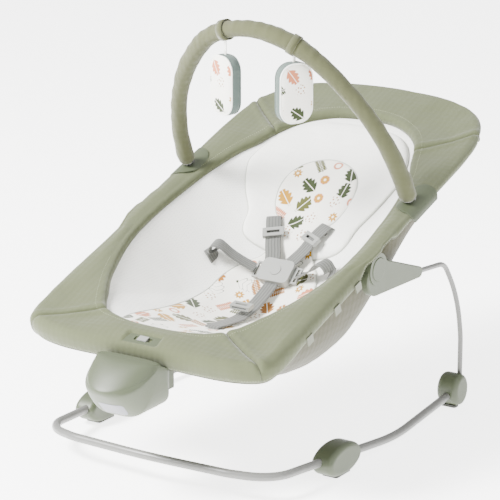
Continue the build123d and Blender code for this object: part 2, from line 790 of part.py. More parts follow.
def insert_station(s):
    above = soft_gap if s < head_pad_front - 4 else 2 * soft_gap + head_pad_thickness
    half_width = between(insert_stations, s, 1)
    if s > insert_circle_s - 40:
        half_width = sqrt(insert_circle_radius ** 2 - (s - insert_circle_s) ** 2)
    return s, half_width, above


with BuildPart() as seat_insert:
    places = sorted({s for s, *_ in (*seat_stations, *insert_stations) if -240 <= s < 250}
                    | {*range(-228, 30, 20), *range(38, 88, 8), *range(102, 256, 8), 258, 262, 266})
    pad([insert_station(s) for s in places], insert_thickness)
    for start, end in (*shoulder_straps_at, crotch_strap_at):
        strap_slot(start, end, liner_n(*start))
save(seat_insert, "seat_insert")


# ================================================================== toy bar and its clips
pivot = seat_point(0, bar_clip_s, bar_pivot_n)
lean = radians(bar_lean_deg)
bar_plane = Plane(origin=pivot, x_dir=(1, 0, 0), z_dir=(0, -cos(lean), -sin(lean)))
side_radius = (bar_half_span ** 2 + (bar_height - bar_top_radius) ** 2 - bar_top_radius ** 2) / (
    2 * (bar_half_span - bar_top_radius))
side_turn = degrees(atan2(bar_height - bar_top_radius, side_radius - bar_half_span))
ear_inner = bar_plug_width / 2 + slide_gap
rib = 6.5                # thickness of a clip's ear


def bar_arch(rise):
    """Three-centred arch of the toy bar, starting at a height above its pivots."""
    start = degrees(rise / side_radius)
    with BuildLine(bar_plane) as arch:
        CenterArc((bar_half_span - side_radius, 0), side_radius, start, side_turn - start)
        CenterArc((0, bar_height - bar_top_radius), bar_top_radius, side_turn, 180 - 2 * side_turn)
        CenterArc((side_radius - bar_half_span, 0), side_radius, 180 - side_turn, side_turn - start)
    return Wire(arch.edges())


with BuildPart() as bar_clip:
    seat_box((clip_inner_x, rim_half_width + 4), (bar_clip_s - clip_length / 2, bar_clip_s + clip_length / 2),
             (rim_top + slide_gap, rim_top + slide_gap + clip_thickness))
    for x in (bar_half_span - ear_inner - rib, bar_half_span + ear_inner):
        ear_plane = Plane(origin=seat_point(x, bar_clip_s, 0), x_dir=seat.y_dir, z_dir=(1, 0, 0))
        with BuildSketch(ear_plane):
            with Locations((0, bar_pivot_n)):
                Circle(bar_plug_radius + 1)
            with Locations((0, rim_top + 1.5)):
                Rectangle(4 * bar_plug_radius, 2)
            make_hull()
        extrude(amount=rib)
    flap_plane = Plane(origin=seat_point(rim_half_width + slide_gap, bar_clip_s, 0), x_dir=seat.y_dir,
                       z_dir=(1, 0, 0))
    with BuildSketch(flap_plane):
        with Locations((0, rim_top)):
            Ellipse(clip_length / 2, clip_flap_drop)
        with Locations((0, rim_top + slide_gap + clip_thickness)):
            Rectangle(2 * clip_length, clip_length, align=(Align.CENTER, Align.MIN), mode=Mode.SUBTRACT)
    extrude(amount=4 - slide_gap)
    seat_box((ring_x - clip_stem / 2, ring_x + clip_stem / 2),
             (bar_clip_s - clip_stem, bar_clip_s + clip_stem),
             (ring_n + ring_tube_d / 2 + slide_gap, rim_top + clip_thickness))
    with BuildSketch(hub_plane(0)) as pin_hole:
        with Locations((pivot.Y - hub_y, pivot.Z - hub_z)):
            Circle(bar_pin_d / 2 + slide_gap)
    extrude(pin_hole.sketch, amount=2 * bar_half_span, mode=Mode.SUBTRACT)
save_pair(bar_clip, "bar_clip")

with BuildPart() as toy_bar_tube:
    tube_along(bar_arch(bar_plug_radius + 2), bar_tube_d, bar_tube_wall)
save(toy_bar_tube, "toy_bar_tube")

with BuildPart() as toy_bar_sleeve:
    tube_along(bar_arch(sleeve_start), sleeve_d, (sleeve_d - bar_tube_d) / 2 - soft_gap)
save(toy_bar_sleeve, "toy_bar_sleeve")

with BuildPart() as bar_ends:
    for side in (-1, 1):
        with Locations(Location((side * bar_half_span, pivot.Y, pivot.Z), (0, 90, 0))):
            Cylinder(bar_plug_radius, bar_plug_width)
            Cylinder(bar_pin_d / 2, bar_plug_width + 2 * rib)
        with BuildSketch(Plane(origin=(side * bar_half_span, pivot.Y, pivot.Z), z_dir=bar_plane.y_dir)):
            Circle(bar_tube_d / 2 - bar_tube_wall - bore_gap - 0.6)
        extrude(amount=20)
save(bar_ends, "bar_ends")


def toy(x, face_deg, drop):
    """Padded toy on a strap whose loop turns on the bar's sleeve. At face_deg 0 it faces the foot end."""
    reach = sqrt(bar_top_radius ** 2 - x ** 2)
    hook = bar_plane.from_local_coords((x, bar_height - bar_top_radius + reach, 0))
    tangent = (bar_plane.x_dir * reach - bar_plane.y_dir * x).normalized()
    top = hook.Z - sleeve_d / 2 - toy_loop_thickness - drop
    facing = radians(face_deg)
    loop = Plane(origin=hook, z_dir=tangent)
    with BuildPart() as body:
        with Locations((hook.X, hook.Y, top - 2)):
            Box(toy_loop_width, 2.5, hook.Z - sleeve_d / 3 - top + 2,
                align=(Align.CENTER, Align.CENTER, Align.MIN))
        with Locations(loop.location):
            Cylinder(sleeve_d / 2 + 1, 4 * toy_loop_width, mode=Mode.SUBTRACT)
        with BuildSketch(loop):
            Circle(sleeve_d / 2 + bore_gap + toy_loop_thickness)
            Circle(sleeve_d / 2 + bore_gap, mode=Mode.SUBTRACT)
        extrude(amount=toy_loop_width / 2, both=True)
        front = Plane(origin=(hook.X, hook.Y, top - toy_height / 2), x_dir=(cos(facing), sin(facing), 0),
                      z_dir=(sin(facing), -cos(facing), 0))
        with BuildSketch(front) as face:
            RectangleRounded(toy_width, toy_height, radius=toy_round)
        extrude(face.sketch, amount=toy_thickness / 2, both=True)
    return body


save(toy(72, 61, 12), "left_toy")
save(toy(-48, -20, 24), "right_toy")


# ================================================================== harness
buckle_slope = 0.4       # the buckle lies along the seat's surface
buckle_plane = Plane(
    origin=seat_point(0, buckle_s, liner_n(0, buckle_s, on_insert + buckle_lift)), x_dir=(1, 0, 0),
    z_dir=(seat.z_dir - seat.y_dir * buckle_slope).normalized())


def buckle_box(u, v, w, mode=Mode.ADD):
    """Box between pairs of coordinates of the buckle's plane, mirrored when u is positive."""
    centre = buckle_plane.from_local_coords((sum(u) / 2, sum(v) / 2, sum(w) / 2))
    with Locations(Plane(origin=centre, x_dir=buckle_plane.x_dir, z_dir=buckle_plane.z_dir).location):
        Box(u[1] - u[0], v[1] - v[0], w[1] - w[0], mode=mode)


half_buckle = buckle_width / 2
button_floor = buckle_thickness - 5.5
with BuildPart() as buckle_body:
    with BuildSketch(buckle_plane):
        RectangleRounded(buckle_width, buckle_length, radius=9)
    extrude(amount=buckle_thickness)
    with BuildSketch(buckle_plane.offset(button_floor)):
        Circle(buckle_button_d / 2 + slide_gap)
    extrude(amount=buckle_thickness, mode=Mode.SUBTRACT)
    for side in (-1, 1):
        buckle_box(sorted((side * 11, side * (half_buckle + 1))), (-6.5 - slide_gap, 6.5 + slide_gap),
                   (4, 7), mode=Mode.SUBTRACT)
    buckle_box((-webbing_width / 2 - 1, webbing_width / 2 + 1), (-half_buckle - 12, -half_buckle + 7),
               (3.5, 7.5), mode=Mode.SUBTRACT)
save(buckle_body, "buckle_body")

with BuildPart() as buckle_button:
    with BuildSketch(buckle_plane.offset(button_floor + buckle_button_travel + 0.2)):
        Circle(buckle_button_d / 2)
    extrude(amount=buckle_thickness + 0.8 - button_floor - buckle_button_travel)
save(buckle_button, "buckle_button")

with BuildPart() as buckle_tongues:
    for side in (-1, 1):
        buckle_box(sorted((side * 12, side * (half_buckle + 6))), (-6.5, 6.5), (4.3, 6.7))
        buckle_box(sorted((side * (half_buckle + 0.5), side * (half_buckle + 13))), (-15, 15), (3.7, 7.3))
        buckle_box(sorted((side * (half_buckle + 6), side * (half_buckle + 10))), (-12, 12), (3, 8),
                   mode=Mode.SUBTRACT)
save(buckle_tongues, "buckle_tongues")

shoulder_top = [liner_n(*start, on_head_pad + strap_lift + 2) for start, _ in shoulder_straps_at]
with BuildPart() as shoulder_straps:
    for (start, end), start_n in zip(shoulder_straps_at, shoulder_top):
        strap(start, end, start_n, shoulder_end_n, 26)
save(shoulder_straps, "shoulder_straps")

with BuildPart() as waist_straps:
    for start, end in waist_straps_at:
        strap(start, end, liner_n(*start, insert_thickness + 6 + strap_lift), waist_end_n, 18)
save(waist_straps, "waist_straps")

with BuildPart() as crotch_strap:
    strap(*crotch_strap_at, liner_n(*crotch_strap_at[0], on_insert + strap_lift), crotch_end_n, 18)
save(crotch_strap, "crotch_strap")


def slider(start, end, start_n, end_n, share):
    """Strap adjuster: a keeper that the webbing runs through, at a share of the strap's length."""
    length = hypot(end[0] - start[0], end[1] - start[1])
    place = Location((share * length, start_n + share * (end_n - start_n), 0),
                     (0, 0, degrees(atan2(end_n - start_n, length))))
    with Locations(strap_plane(start, end) * place):
        Box(16, 7, webbing_width + 9)
        Box(20, webbing_thickness + 2 * soft_gap, webbing_width + 2 * soft_gap, mode=Mode.SUBTRACT)
        Box(5, 20, webbing_width - 4, mode=Mode.SUBTRACT)


with BuildPart() as strap_adjusters:
    for (start, end), start_n in zip(shoulder_straps_at, shoulder_top):
        slider(start, end, start_n, shoulder_end_n, 0.5)
    slider(*crotch_strap_at, liner_n(*crotch_strap_at[0], on_insert + strap_lift), crotch_end_n, 0.5)
save(strap_adjusters, "strap_adjusters")


# ================================================================== vibration unit under the front of the rim
slant_top, slant_bottom = (-411.5, 168), (-371.5, unit_floor)
unit_profile = (
    (-337.5, 208), (-364.0, 210), (unit_front_y, 175), slant_top, slant_bottom, (unit_rear_y, unit_floor),
    (unit_rear_y, 184), (-335.5, 186),
)
panel_middle = Vector(5, *(0.43 * top + 0.57 * bottom for top, bottom in zip(slant_top, slant_bottom)))
panel_slope = atan2(slant_top[1] - slant_bottom[1], slant_bottom[0] - slant_top[0])
panel_plane = Plane(origin=panel_middle, x_dir=(1, 0, 0), z_dir=(0, sin(panel_slope), cos(panel_slope)))


def unit_solid(inset):
    """Outer shape of the unit, made smaller all round by inset."""
    half_width = unit_half_width - inset
    with BuildPart() as solid:
        with BuildSketch(Plane.YZ) as profile:
            with BuildLine():
                Polyline(*unit_profile, close=True)
            make_face()
            fillet(profile.vertices().group_by(Axis.X)[0] + profile.vertices().group_by(Axis.Y)[-1], radius=5)
            offset(amount=-inset)
        extrude(profile.sketch, amount=half_width, both=True)
        with BuildSketch(Plane.XY) as plan:
            with Locations((0, unit_widest_y)):
                Ellipse(half_width, unit_widest_y - unit_front_y - inset)
                Rectangle(2 * half_width, 100, align=(Align.CENTER, Align.MIN), mode=Mode.SUBTRACT)
                Ellipse(half_width, unit_rear_y - unit_widest_y - inset)
        extrude(plan.sketch, amount=2 * hub_z, mode=Mode.INTERSECT)
    return solid.part


def panel_block(width, height, low, high, mode=Mode.ADD):
    """Block parallel to the button panel, between two depths inside the slanted face."""
    with Locations(panel_plane.location * Location((0, 0, (low + high) / 2))):
        Box(width, height, high - low, mode=mode)


def world_box(x, y, z, mode=Mode.ADD):
    with Locations((sum(x) / 2, sum(y) / 2, sum(z) / 2)):
        Box(x[1] - x[0], y[1] - y[0], z[1] - z[0], mode=mode)


def along_x(x, y, z, radius, mode=Mode.ADD):
    """Round bar along X between two places."""
    with Locations(Location((sum(x) / 2, y, z), (0, 90, 0))):
        Cylinder(radius, x[1] - x[0], mode=mode)


battery_space = ((battery_x - battery_length / 2 - 1, battery_x + battery_length / 2 + 1), battery_y,
                 battery_z, battery_d / 2 + slide_gap)
motor_space = ((motor_x - motor_length, motor_x + 1), motor_y, motor_z, motor_d / 2 + bore_gap)


def rear_wall(x):
    """Outer y of the unit's rounded rear wall."""
    return unit_widest_y + (unit_rear_y - unit_widest_y) * sqrt(1 - (x / unit_half_width) ** 2)


unit_screw_places = [
    Plane(origin=(x, rear_wall(x) + socket_screw_length - unit_wall, 163), x_dir=(1, 0, 0), z_dir=(0, -1, 0))
    for x in (bracket_x[0] + 7, bracket_x[1] - 7)
]
front_half = ((-100, 100), (unit_front_y - 10, unit_split_y), (0, 2 * hub_z))
rear_half = ((-100, 100), (unit_split_y, unit_rear_y + 10), (0, 2 * hub_z))

with BuildPart() as unit_housing:
    add(unit_solid(0))
    add(unit_solid(unit_wall), mode=Mode.SUBTRACT)
    for shift in (-1, 1):
        post = Location((shift * (panel_width / 2 + 5), 0, unit_wall / 2 + 3.9))
        with Locations(panel_plane.location * post):
            Cylinder(2.5, 8 - unit_wall / 2)
    world_box((motor_x - 20, motor_x - 6), (motor_y - motor_d / 2 - 2, motor_y + motor_d / 2 + 2),
              (motor_z, unit_profile[0][1] - 1))
    add(unit_solid(0), mode=Mode.INTERSECT)
    world_box(*rear_half, mode=Mode.SUBTRACT)
    along_x(*motor_space, mode=Mode.SUBTRACT)
    panel_block(panel_width + 2 * slide_gap, panel_height + 2 * slide_gap, -5, unit_wall + 1,
                mode=Mode.SUBTRACT)
save(unit_housing, "unit_housing")

with BuildPart() as unit_back:
    add(unit_solid(0))
    add(unit_solid(unit_wall), mode=Mode.SUBTRACT)
    world_box((battery_x - 20, battery_x + 20), (battery_y - 9, battery_y + 9),
              (battery_z + 3, unit_profile[6][1] - 1))
    for place in unit_screw_places:
        with Locations(place.location * Location((0, 0, socket_screw_length - 1))):
            Cylinder(4, 7)
    add(unit_solid(0), mode=Mode.INTERSECT)
    world_box(*front_half, mode=Mode.SUBTRACT)
    along_x(*battery_space, mode=Mode.SUBTRACT)
    world_box((battery_x - door_width / 2, battery_x + door_width / 2),
              (battery_y - door_length / 2, battery_y + door_length / 2),
              (unit_floor - 1, unit_floor + unit_wall + 1), mode=Mode.SUBTRACT)
    for place in unit_screw_places:
        screw_hole(place)
save(unit_back, "unit_back")

with BuildPart() as battery_door:
    world_box((battery_x - door_width / 2 + slide_gap, battery_x + door_width / 2 - slide_gap),
              (battery_y - door_length / 2 + slide_gap, battery_y + door_length / 2 - slide_gap),
              (unit_floor, unit_floor + unit_wall))
save(battery_door, "battery_door")

with BuildPart() as battery:
    along_x((battery_x - battery_length / 2, battery_x + battery_length / 2 - 1.5), battery_y, battery_z,
            battery_d / 2)
    along_x((battery_x, battery_x + battery_length / 2), battery_y, battery_z, 3)
save(battery, "battery")

with BuildPart() as unit_motor:
    along_x((motor_x - motor_length, motor_x), motor_y, motor_z, motor_d / 2)
    along_x((motor_x - 2, motor_x + weight_width + 4), motor_y, motor_z, motor_shaft_d / 2)
save(unit_motor, "unit_motor")

with BuildPart() as motor_weight:
    with BuildSketch(Plane(origin=(motor_x + 2, motor_y, motor_z), x_dir=(0, 1, 0), z_dir=(1, 0, 0))):
        Circle(weight_radius)
        Rectangle(2 * weight_radius, weight_radius, align=(Align.CENTER, Align.MIN), mode=Mode.SUBTRACT)
        Circle(motor_shaft_d / 2 + 2.5)
        Circle(motor_shaft_d / 2 + bore_gap, mode=Mode.SUBTRACT)
    extrude(amount=weight_width)
save(motor_weight, "motor_weight")

with BuildPart() as circuit_board:
    panel_block(panel_width + 16, panel_height - 4, 8.6, 10.2)
save(circuit_board, "circuit_board")

with BuildPart() as unit_button:
    panel_block(panel_width, panel_height, -0.8, unit_wall + 0.4)
    panel_block(panel_width + 4, panel_height + 4, unit_wall + 0.4, unit_wall + 1.9)
save(unit_button, "unit_button")

with BuildPart() as unit_bracket:
    with BuildSketch(Plane.YZ.offset(bracket_x[0])):
        with BuildLine():
            Polyline(
                (unit_rear_y - 15, 148), (bracket_rear_y, 148), (bracket_rear_y, 186), (bracket_front_y, 190),
                (bracket_front_y, 170), (unit_rear_y - 15, 170), close=True,
            )
        make_face()
    extrude(amount=bracket_x[1] - bracket_x[0])
    add(Pos(0, bore_gap, bore_gap) * unit_solid(0), mode=Mode.SUBTRACT)
    seat_box((bracket_x[0] + 2, bracket_x[1] - 2), (ring_front_s - 5, ring_front_s + 6), (-19, ring_n - 2))
    tube_along(front_ring_path, ring_tube_d + 2 * bore_gap, mode=Mode.SUBTRACT)
    for place in unit_screw_places:
        screw_hole(place)
        with Locations(place.location):
            Cylinder(socket_screw_head_d / 2 + slide_gap, 60, align=(Align.CENTER, Align.CENTER, Align.MAX),
                     mode=Mode.SUBTRACT)
save(unit_bracket, "unit_bracket")

with BuildPart() as seat_screws:
    for place in (*socket_screw_places, *unit_screw_places):
        screw_hole(place, mode=Mode.ADD, extra=0)
save(seat_screws, "seat_screws")


# ================================================================== switch in the front of the rim
plate = (window_width / 2 - soft_gap, window_length / 2 - soft_gap)
slot = (15.0, 4.0)       # half length and half width of the slider's slot
with BuildPart() as switch_bezel:
    seat_box((-plate[0], plate[0]), (window_s - plate[1], window_s + plate[1]),
             (window_floor + slide_gap, bezel_top))
    seat_box((-slot[0], slot[0]), (window_s - slot[1], window_s + slot[1]), (window_floor, bezel_top + 1),
             mode=Mode.SUBTRACT)
save(switch_bezel, "switch_bezel")

with BuildPart() as switch_slider:
    seat_box((-7, 7), (window_s - slot[1] + slide_gap, window_s + slot[1] - slide_gap),
             (window_floor + slide_gap, bezel_top + 1))
    seat_box((-8, 8), (window_s - slot[1] - 1.5, window_s + slot[1] + 1.5),
             (bezel_top + slide_gap, bezel_top + 2))
save(switch_slider, "switch_slider")
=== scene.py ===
import math
import bmesh
import bpy
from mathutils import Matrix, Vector, noise


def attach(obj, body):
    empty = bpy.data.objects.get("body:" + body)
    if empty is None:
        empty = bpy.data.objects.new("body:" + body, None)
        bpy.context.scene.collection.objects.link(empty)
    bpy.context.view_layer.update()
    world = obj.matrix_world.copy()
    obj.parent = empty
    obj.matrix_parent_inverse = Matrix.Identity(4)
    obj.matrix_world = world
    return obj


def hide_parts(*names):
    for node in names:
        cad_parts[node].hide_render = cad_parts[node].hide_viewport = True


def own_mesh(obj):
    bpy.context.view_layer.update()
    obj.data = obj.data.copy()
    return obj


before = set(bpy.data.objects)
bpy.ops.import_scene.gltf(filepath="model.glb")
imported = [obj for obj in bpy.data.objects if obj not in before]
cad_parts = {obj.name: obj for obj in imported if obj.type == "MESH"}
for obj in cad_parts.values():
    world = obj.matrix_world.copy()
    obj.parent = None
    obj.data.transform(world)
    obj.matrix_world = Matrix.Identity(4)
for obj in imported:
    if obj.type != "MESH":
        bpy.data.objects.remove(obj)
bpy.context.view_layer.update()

mm = 0.001

# how the seat lies: its own plane runs x across, s up the slope and n square to it, all in millimetres
seatPlane = {"y": -23.5, "z": 298.0, "tilt": math.radians(18)}


def seatPoint(x, s, n):
    up, along = math.sin(seatPlane["tilt"]), math.cos(seatPlane["tilt"])
    return Vector((x, seatPlane["y"] + s * along - n * up, seatPlane["z"] + s * up + n * along)) * mm


def smoothAt(table, s, column):
    # smooth curve through a table's rows, held at its ends
    if s <= table[0][0]:
        return table[0][column]
    if s >= table[-1][0]:
        return table[-1][column]
    i = max(k for k in range(len(table) - 1) if table[k][0] <= s)
    a, b = table[i], table[i + 1]
    before, after = table[max(i - 1, 0)], table[min(i + 2, len(table) - 1)]
    t = (s - a[0]) / (b[0] - a[0])
    slopeA = (b[column] - before[column]) / (b[0] - before[0]) * (b[0] - a[0])
    slopeB = (after[column] - a[column]) / (after[0] - a[0]) * (b[0] - a[0])
    return ((2 * t ** 3 - 3 * t ** 2 + 1) * a[column] + (t ** 3 - 2 * t ** 2 + t) * slopeA
            + (3 * t ** 2 - 2 * t ** 3) * b[column] + (t ** 3 - t ** 2) * slopeB)


def ease(value, low, high):
    t = min(max((value - low) / (high - low), 0), 1)
    return t * t * (3 - 2 * t)


def catmull(p0, p1, p2, p3, t):
    return 0.5 * (2 * p1 + (p2 - p0) * t + (2 * p0 - 5 * p1 + 4 * p2 - p3) * t * t
                  + (3 * p1 - p0 - 3 * p2 + p3) * t ** 3)


def curveAt(keys, i, t, closed=True):
    # values of a smooth curve through rows of keys, share t of the way from key i to the next
    count = len(keys)
    four = [keys[(i + k) % count if closed else min(max(i + k, 0), count - 1)] for k in (-1, 0, 1, 2)]
    return [catmull(*(key[c] for key in four), t) for c in range(len(keys[0]))]


def smoothLoop(half, steps=6):
    # closed line through a half outline and its mirror image, with x in every other column
    left = tuple(tuple(v if c % 2 else -v for c, v in enumerate(key)) for key in reversed(half[1:-1]))
    keys = half + left
    return [curveAt(keys, i, step / steps) for i in range(len(keys)) for step in range(steps)]


# ---- materials
def toLinear(hexText):
    parts = [int(hexText[i:i + 2], 16) / 255 for i in (1, 3, 5)]
    return tuple(c / 12.92 if c <= 0.04045 else ((c + 0.055) / 1.055) ** 2.4 for c in parts) + (1,)


def shaded(colour, share):
    return tuple(min(c * share, 1) for c in colour[:3]) + (1,)


def addNode(tree, kind, *sources, output=0, **settings):
    # one node with its settings and links, given back as one of its outputs; a name in capitals is an
    # operation of the Math node, and sources fill the inputs in order
    isMath = kind.isupper()
    node = tree.nodes.new("ShaderNodeMath" if isMath else "ShaderNode" + kind)
    if isMath:
        node.operation = kind
    for key, value in (*enumerate(sources), *settings.items()):
        if isinstance(value, bpy.types.NodeSocket):
            tree.links.new(value, node.inputs[key])
        elif isinstance(key, int) or key in node.inputs:
            node.inputs[key].default_value = value
        else:
            setattr(node, key, value)
    return node.outputs[output]


def mixColour(tree, share, a, b):
    # a Mix node keeps its colours in inputs 6 and 7 and output 2
    node = addNode(tree, "Mix", share, data_type="RGBA").node
    for socket, value in ((node.inputs[6], a), (node.inputs[7], b)):
        if isinstance(value, tuple):
            socket.default_value = value
        else:
            tree.links.new(value, socket)
    return node.outputs[2]


def newMaterial(name, **shader):
    material = bpy.data.materials.new(name)
    material.use_nodes = True
    tree = material.node_tree
    tree.nodes.clear()
    body = addNode(tree, "BsdfPrincipled", **shader).node
    tree.links.new(body.outputs[0], tree.nodes.new("ShaderNodeOutputMaterial").inputs[0])
    return material, tree, body


def makeFabric(name, hexText, threadMm, softness=0.25, mottle=0.1):
    # woven cloth: crossed threads in the bump, faint mottling in the colour, a soft sheen and no shine
    material, tree, body = newMaterial(name, **{"Roughness": 0.88, "Sheen Weight": 0.25,
                                                "Sheen Roughness": 0.45, "Specular IOR Level": 0.25})
    where = addNode(tree, "TexCoord", output="Object")
    # a wave texture's scale of 1 is 20 threads to the metre
    waves = [addNode(tree, "TexWave", where, output=1, wave_type="BANDS", bands_direction=axis,
                     Scale=1000 / threadMm / 20, Distortion=1.2, Detail=1.0, **{"Detail Scale": 3.0})
             for axis in ("X", "Y", "Z")]
    weave = addNode(tree, "ADD", addNode(tree, "ADD", waves[0], waves[1]), waves[2])
    clouds = addNode(tree, "TexNoise", where, Scale=28.0, Detail=5.0)
    fuzz = addNode(tree, "TexNoise", where, Scale=900.0, Detail=2.0)
    base = toLinear(hexText)
    share = addNode(tree, "MULTIPLY", addNode(tree, "ADD", clouds, fuzz), 0.5)
    mixed = mixColour(tree, share, shaded(base, 1 - mottle), shaded(base, 1 + mottle * 0.7))
    tree.links.new(mixed, body.inputs["Base Color"])
    threads = addNode(tree, "ADD", weave, fuzz)
    fine = addNode(tree, "Bump", Strength=0.5, Distance=0.0003, Height=threads)
    soft = addNode(tree, "Bump", Strength=softness, Distance=0.004, Height=clouds, Normal=fine)
    tree.links.new(soft, body.inputs["Normal"])
    return material


def makeHard(name, hexText, roughness, bump, fine, coarse, spread, **shader):
    # one colour, a fine bump and slightly uneven gloss; fine and coarse are each a noise's scale and detail
    material, tree, body = newMaterial(name, **{"Base Color": toLinear(hexText)}, **shader)
    where = addNode(tree, "TexCoord", output="Object")
    pebbles, patches = (addNode(tree, "TexNoise", where, Scale=scale, Detail=detail)
                        for scale, detail in (fine, coarse))
    gloss = addNode(tree, "MapRange", patches,
                    **{"To Min": roughness - spread[0], "To Max": roughness + spread[1]})
    tree.links.new(gloss, body.inputs["Roughness"])
    grain = addNode(tree, "Bump", Strength=bump, Distance=0.0002, Height=pebbles)
    tree.links.new(grain, body.inputs["Normal"])
    return material


def makePlastic(name, hexText, roughness, grain=0.25, coat=0.0, gritMm=0.9):
    # injection-moulded plastic: fine spark-eroded grain
    return makeHard(name, hexText, roughness, grain, fine=(1000 / gritMm, 3.0), coarse=(14.0, 3.0),
                    spread=(0.06, 0.08), **{"IOR": 1.5, "Coat Weight": coat})


def makeMetal(name, hexText, roughness, metallic=1.0, orangePeel=0.1):
    # metal, or paint on metal with its orange peel
    return makeHard(name, hexText, roughness, orangePeel, fine=(420.0, 2.0), coarse=(20.0, 4.0),
                    spread=(0.05, 0.07), Metallic=metallic)


def makeNet(name, hexText, holeMm=3.2):
    # warp-knitted spacer mesh: rows of small round holes, drawn coarser than real so that they show; the
    # holes are painted darker as painted shade in them, under a cloudy random tone
    material, tree, body = newMaterial(name, **{"Roughness": 0.8, "Sheen Weight": 0.2,
                                                "Specular IOR Level": 0.25})
    where = addNode(tree, "TexCoord", output="Object")
    holes = addNode(tree, "TexVoronoi", where, output="Distance", Scale=1000 / holeMm, Randomness=0.25)
    ring = addNode(tree, "MapRange", holes, **{"From Min": 0.15, "From Max": 0.45})
    clouds = addNode(tree, "TexNoise", where, Scale=16.0, Detail=4.0)
    base = toLinear(hexText)
    # painted shade: the colour drops to 0.86 of the base inside each hole, where the mesh is deep
    share = addNode(tree, "MULTIPLY", ring, addNode(tree, "ADD", clouds, 0.5))
    tree.links.new(mixColour(tree, share, shaded(base, 0.86), base), body.inputs["Base Color"])
    tree.links.new(addNode(tree, "Bump", Strength=0.35, Distance=0.0005, Height=ring), body.inputs["Normal"])
    return material


def makeWebbing(name, hexText, ribMm=2.2, cordMm=5.0):
    # flat woven webbing: cords along it and finer ribs across, read from its own UV map in metres; the
    # grooves between them are painted darker as painted shade
    material, tree, body = newMaterial(name, **{"Roughness": 0.7, "Sheen Weight": 0.15,
                                                "Specular IOR Level": 0.35})
    parts = addNode(tree, "SeparateXYZ", addNode(tree, "UVMap", uv_map="metres")).node.outputs
    cords, ribs = (addNode(tree, "SINE", addNode(tree, "MULTIPLY", part, 2 * math.pi * 1000 / pitch))
                   for part, pitch in zip(parts, (cordMm, ribMm)))
    height = addNode(tree, "ADD", addNode(tree, "MULTIPLY", ribs, 0.35), cords)
    base = toLinear(hexText)
    # painted shade: the lower the weave, the darker its colour, down to 0.42 of the base in the grooves
    share = addNode(tree, "MULTIPLY_ADD", height, 0.3, 0.6, use_clamp=True)
    tree.links.new(mixColour(tree, share, shaded(base, 0.42), base), body.inputs["Base Color"])
    tree.links.new(addNode(tree, "Bump", Strength=0.5, Distance=0.0004, Height=height), body.inputs["Normal"])
    return material


printInk = {"leaf": "#4A4C20", "fern": "#2A3417", "ochre": "#8E5A14", "blush": "#B8704E", "sun": "#A87A1A",
            "ground": "#EDEBE2"}
# share of the leaves and sprigs at which each ink starts
inkStops = ((0.0, "leaf"), (0.3, "fern"), (0.5, "ochre"), (0.62, "leaf"), (0.78, "blush"), (0.88, "sun"))


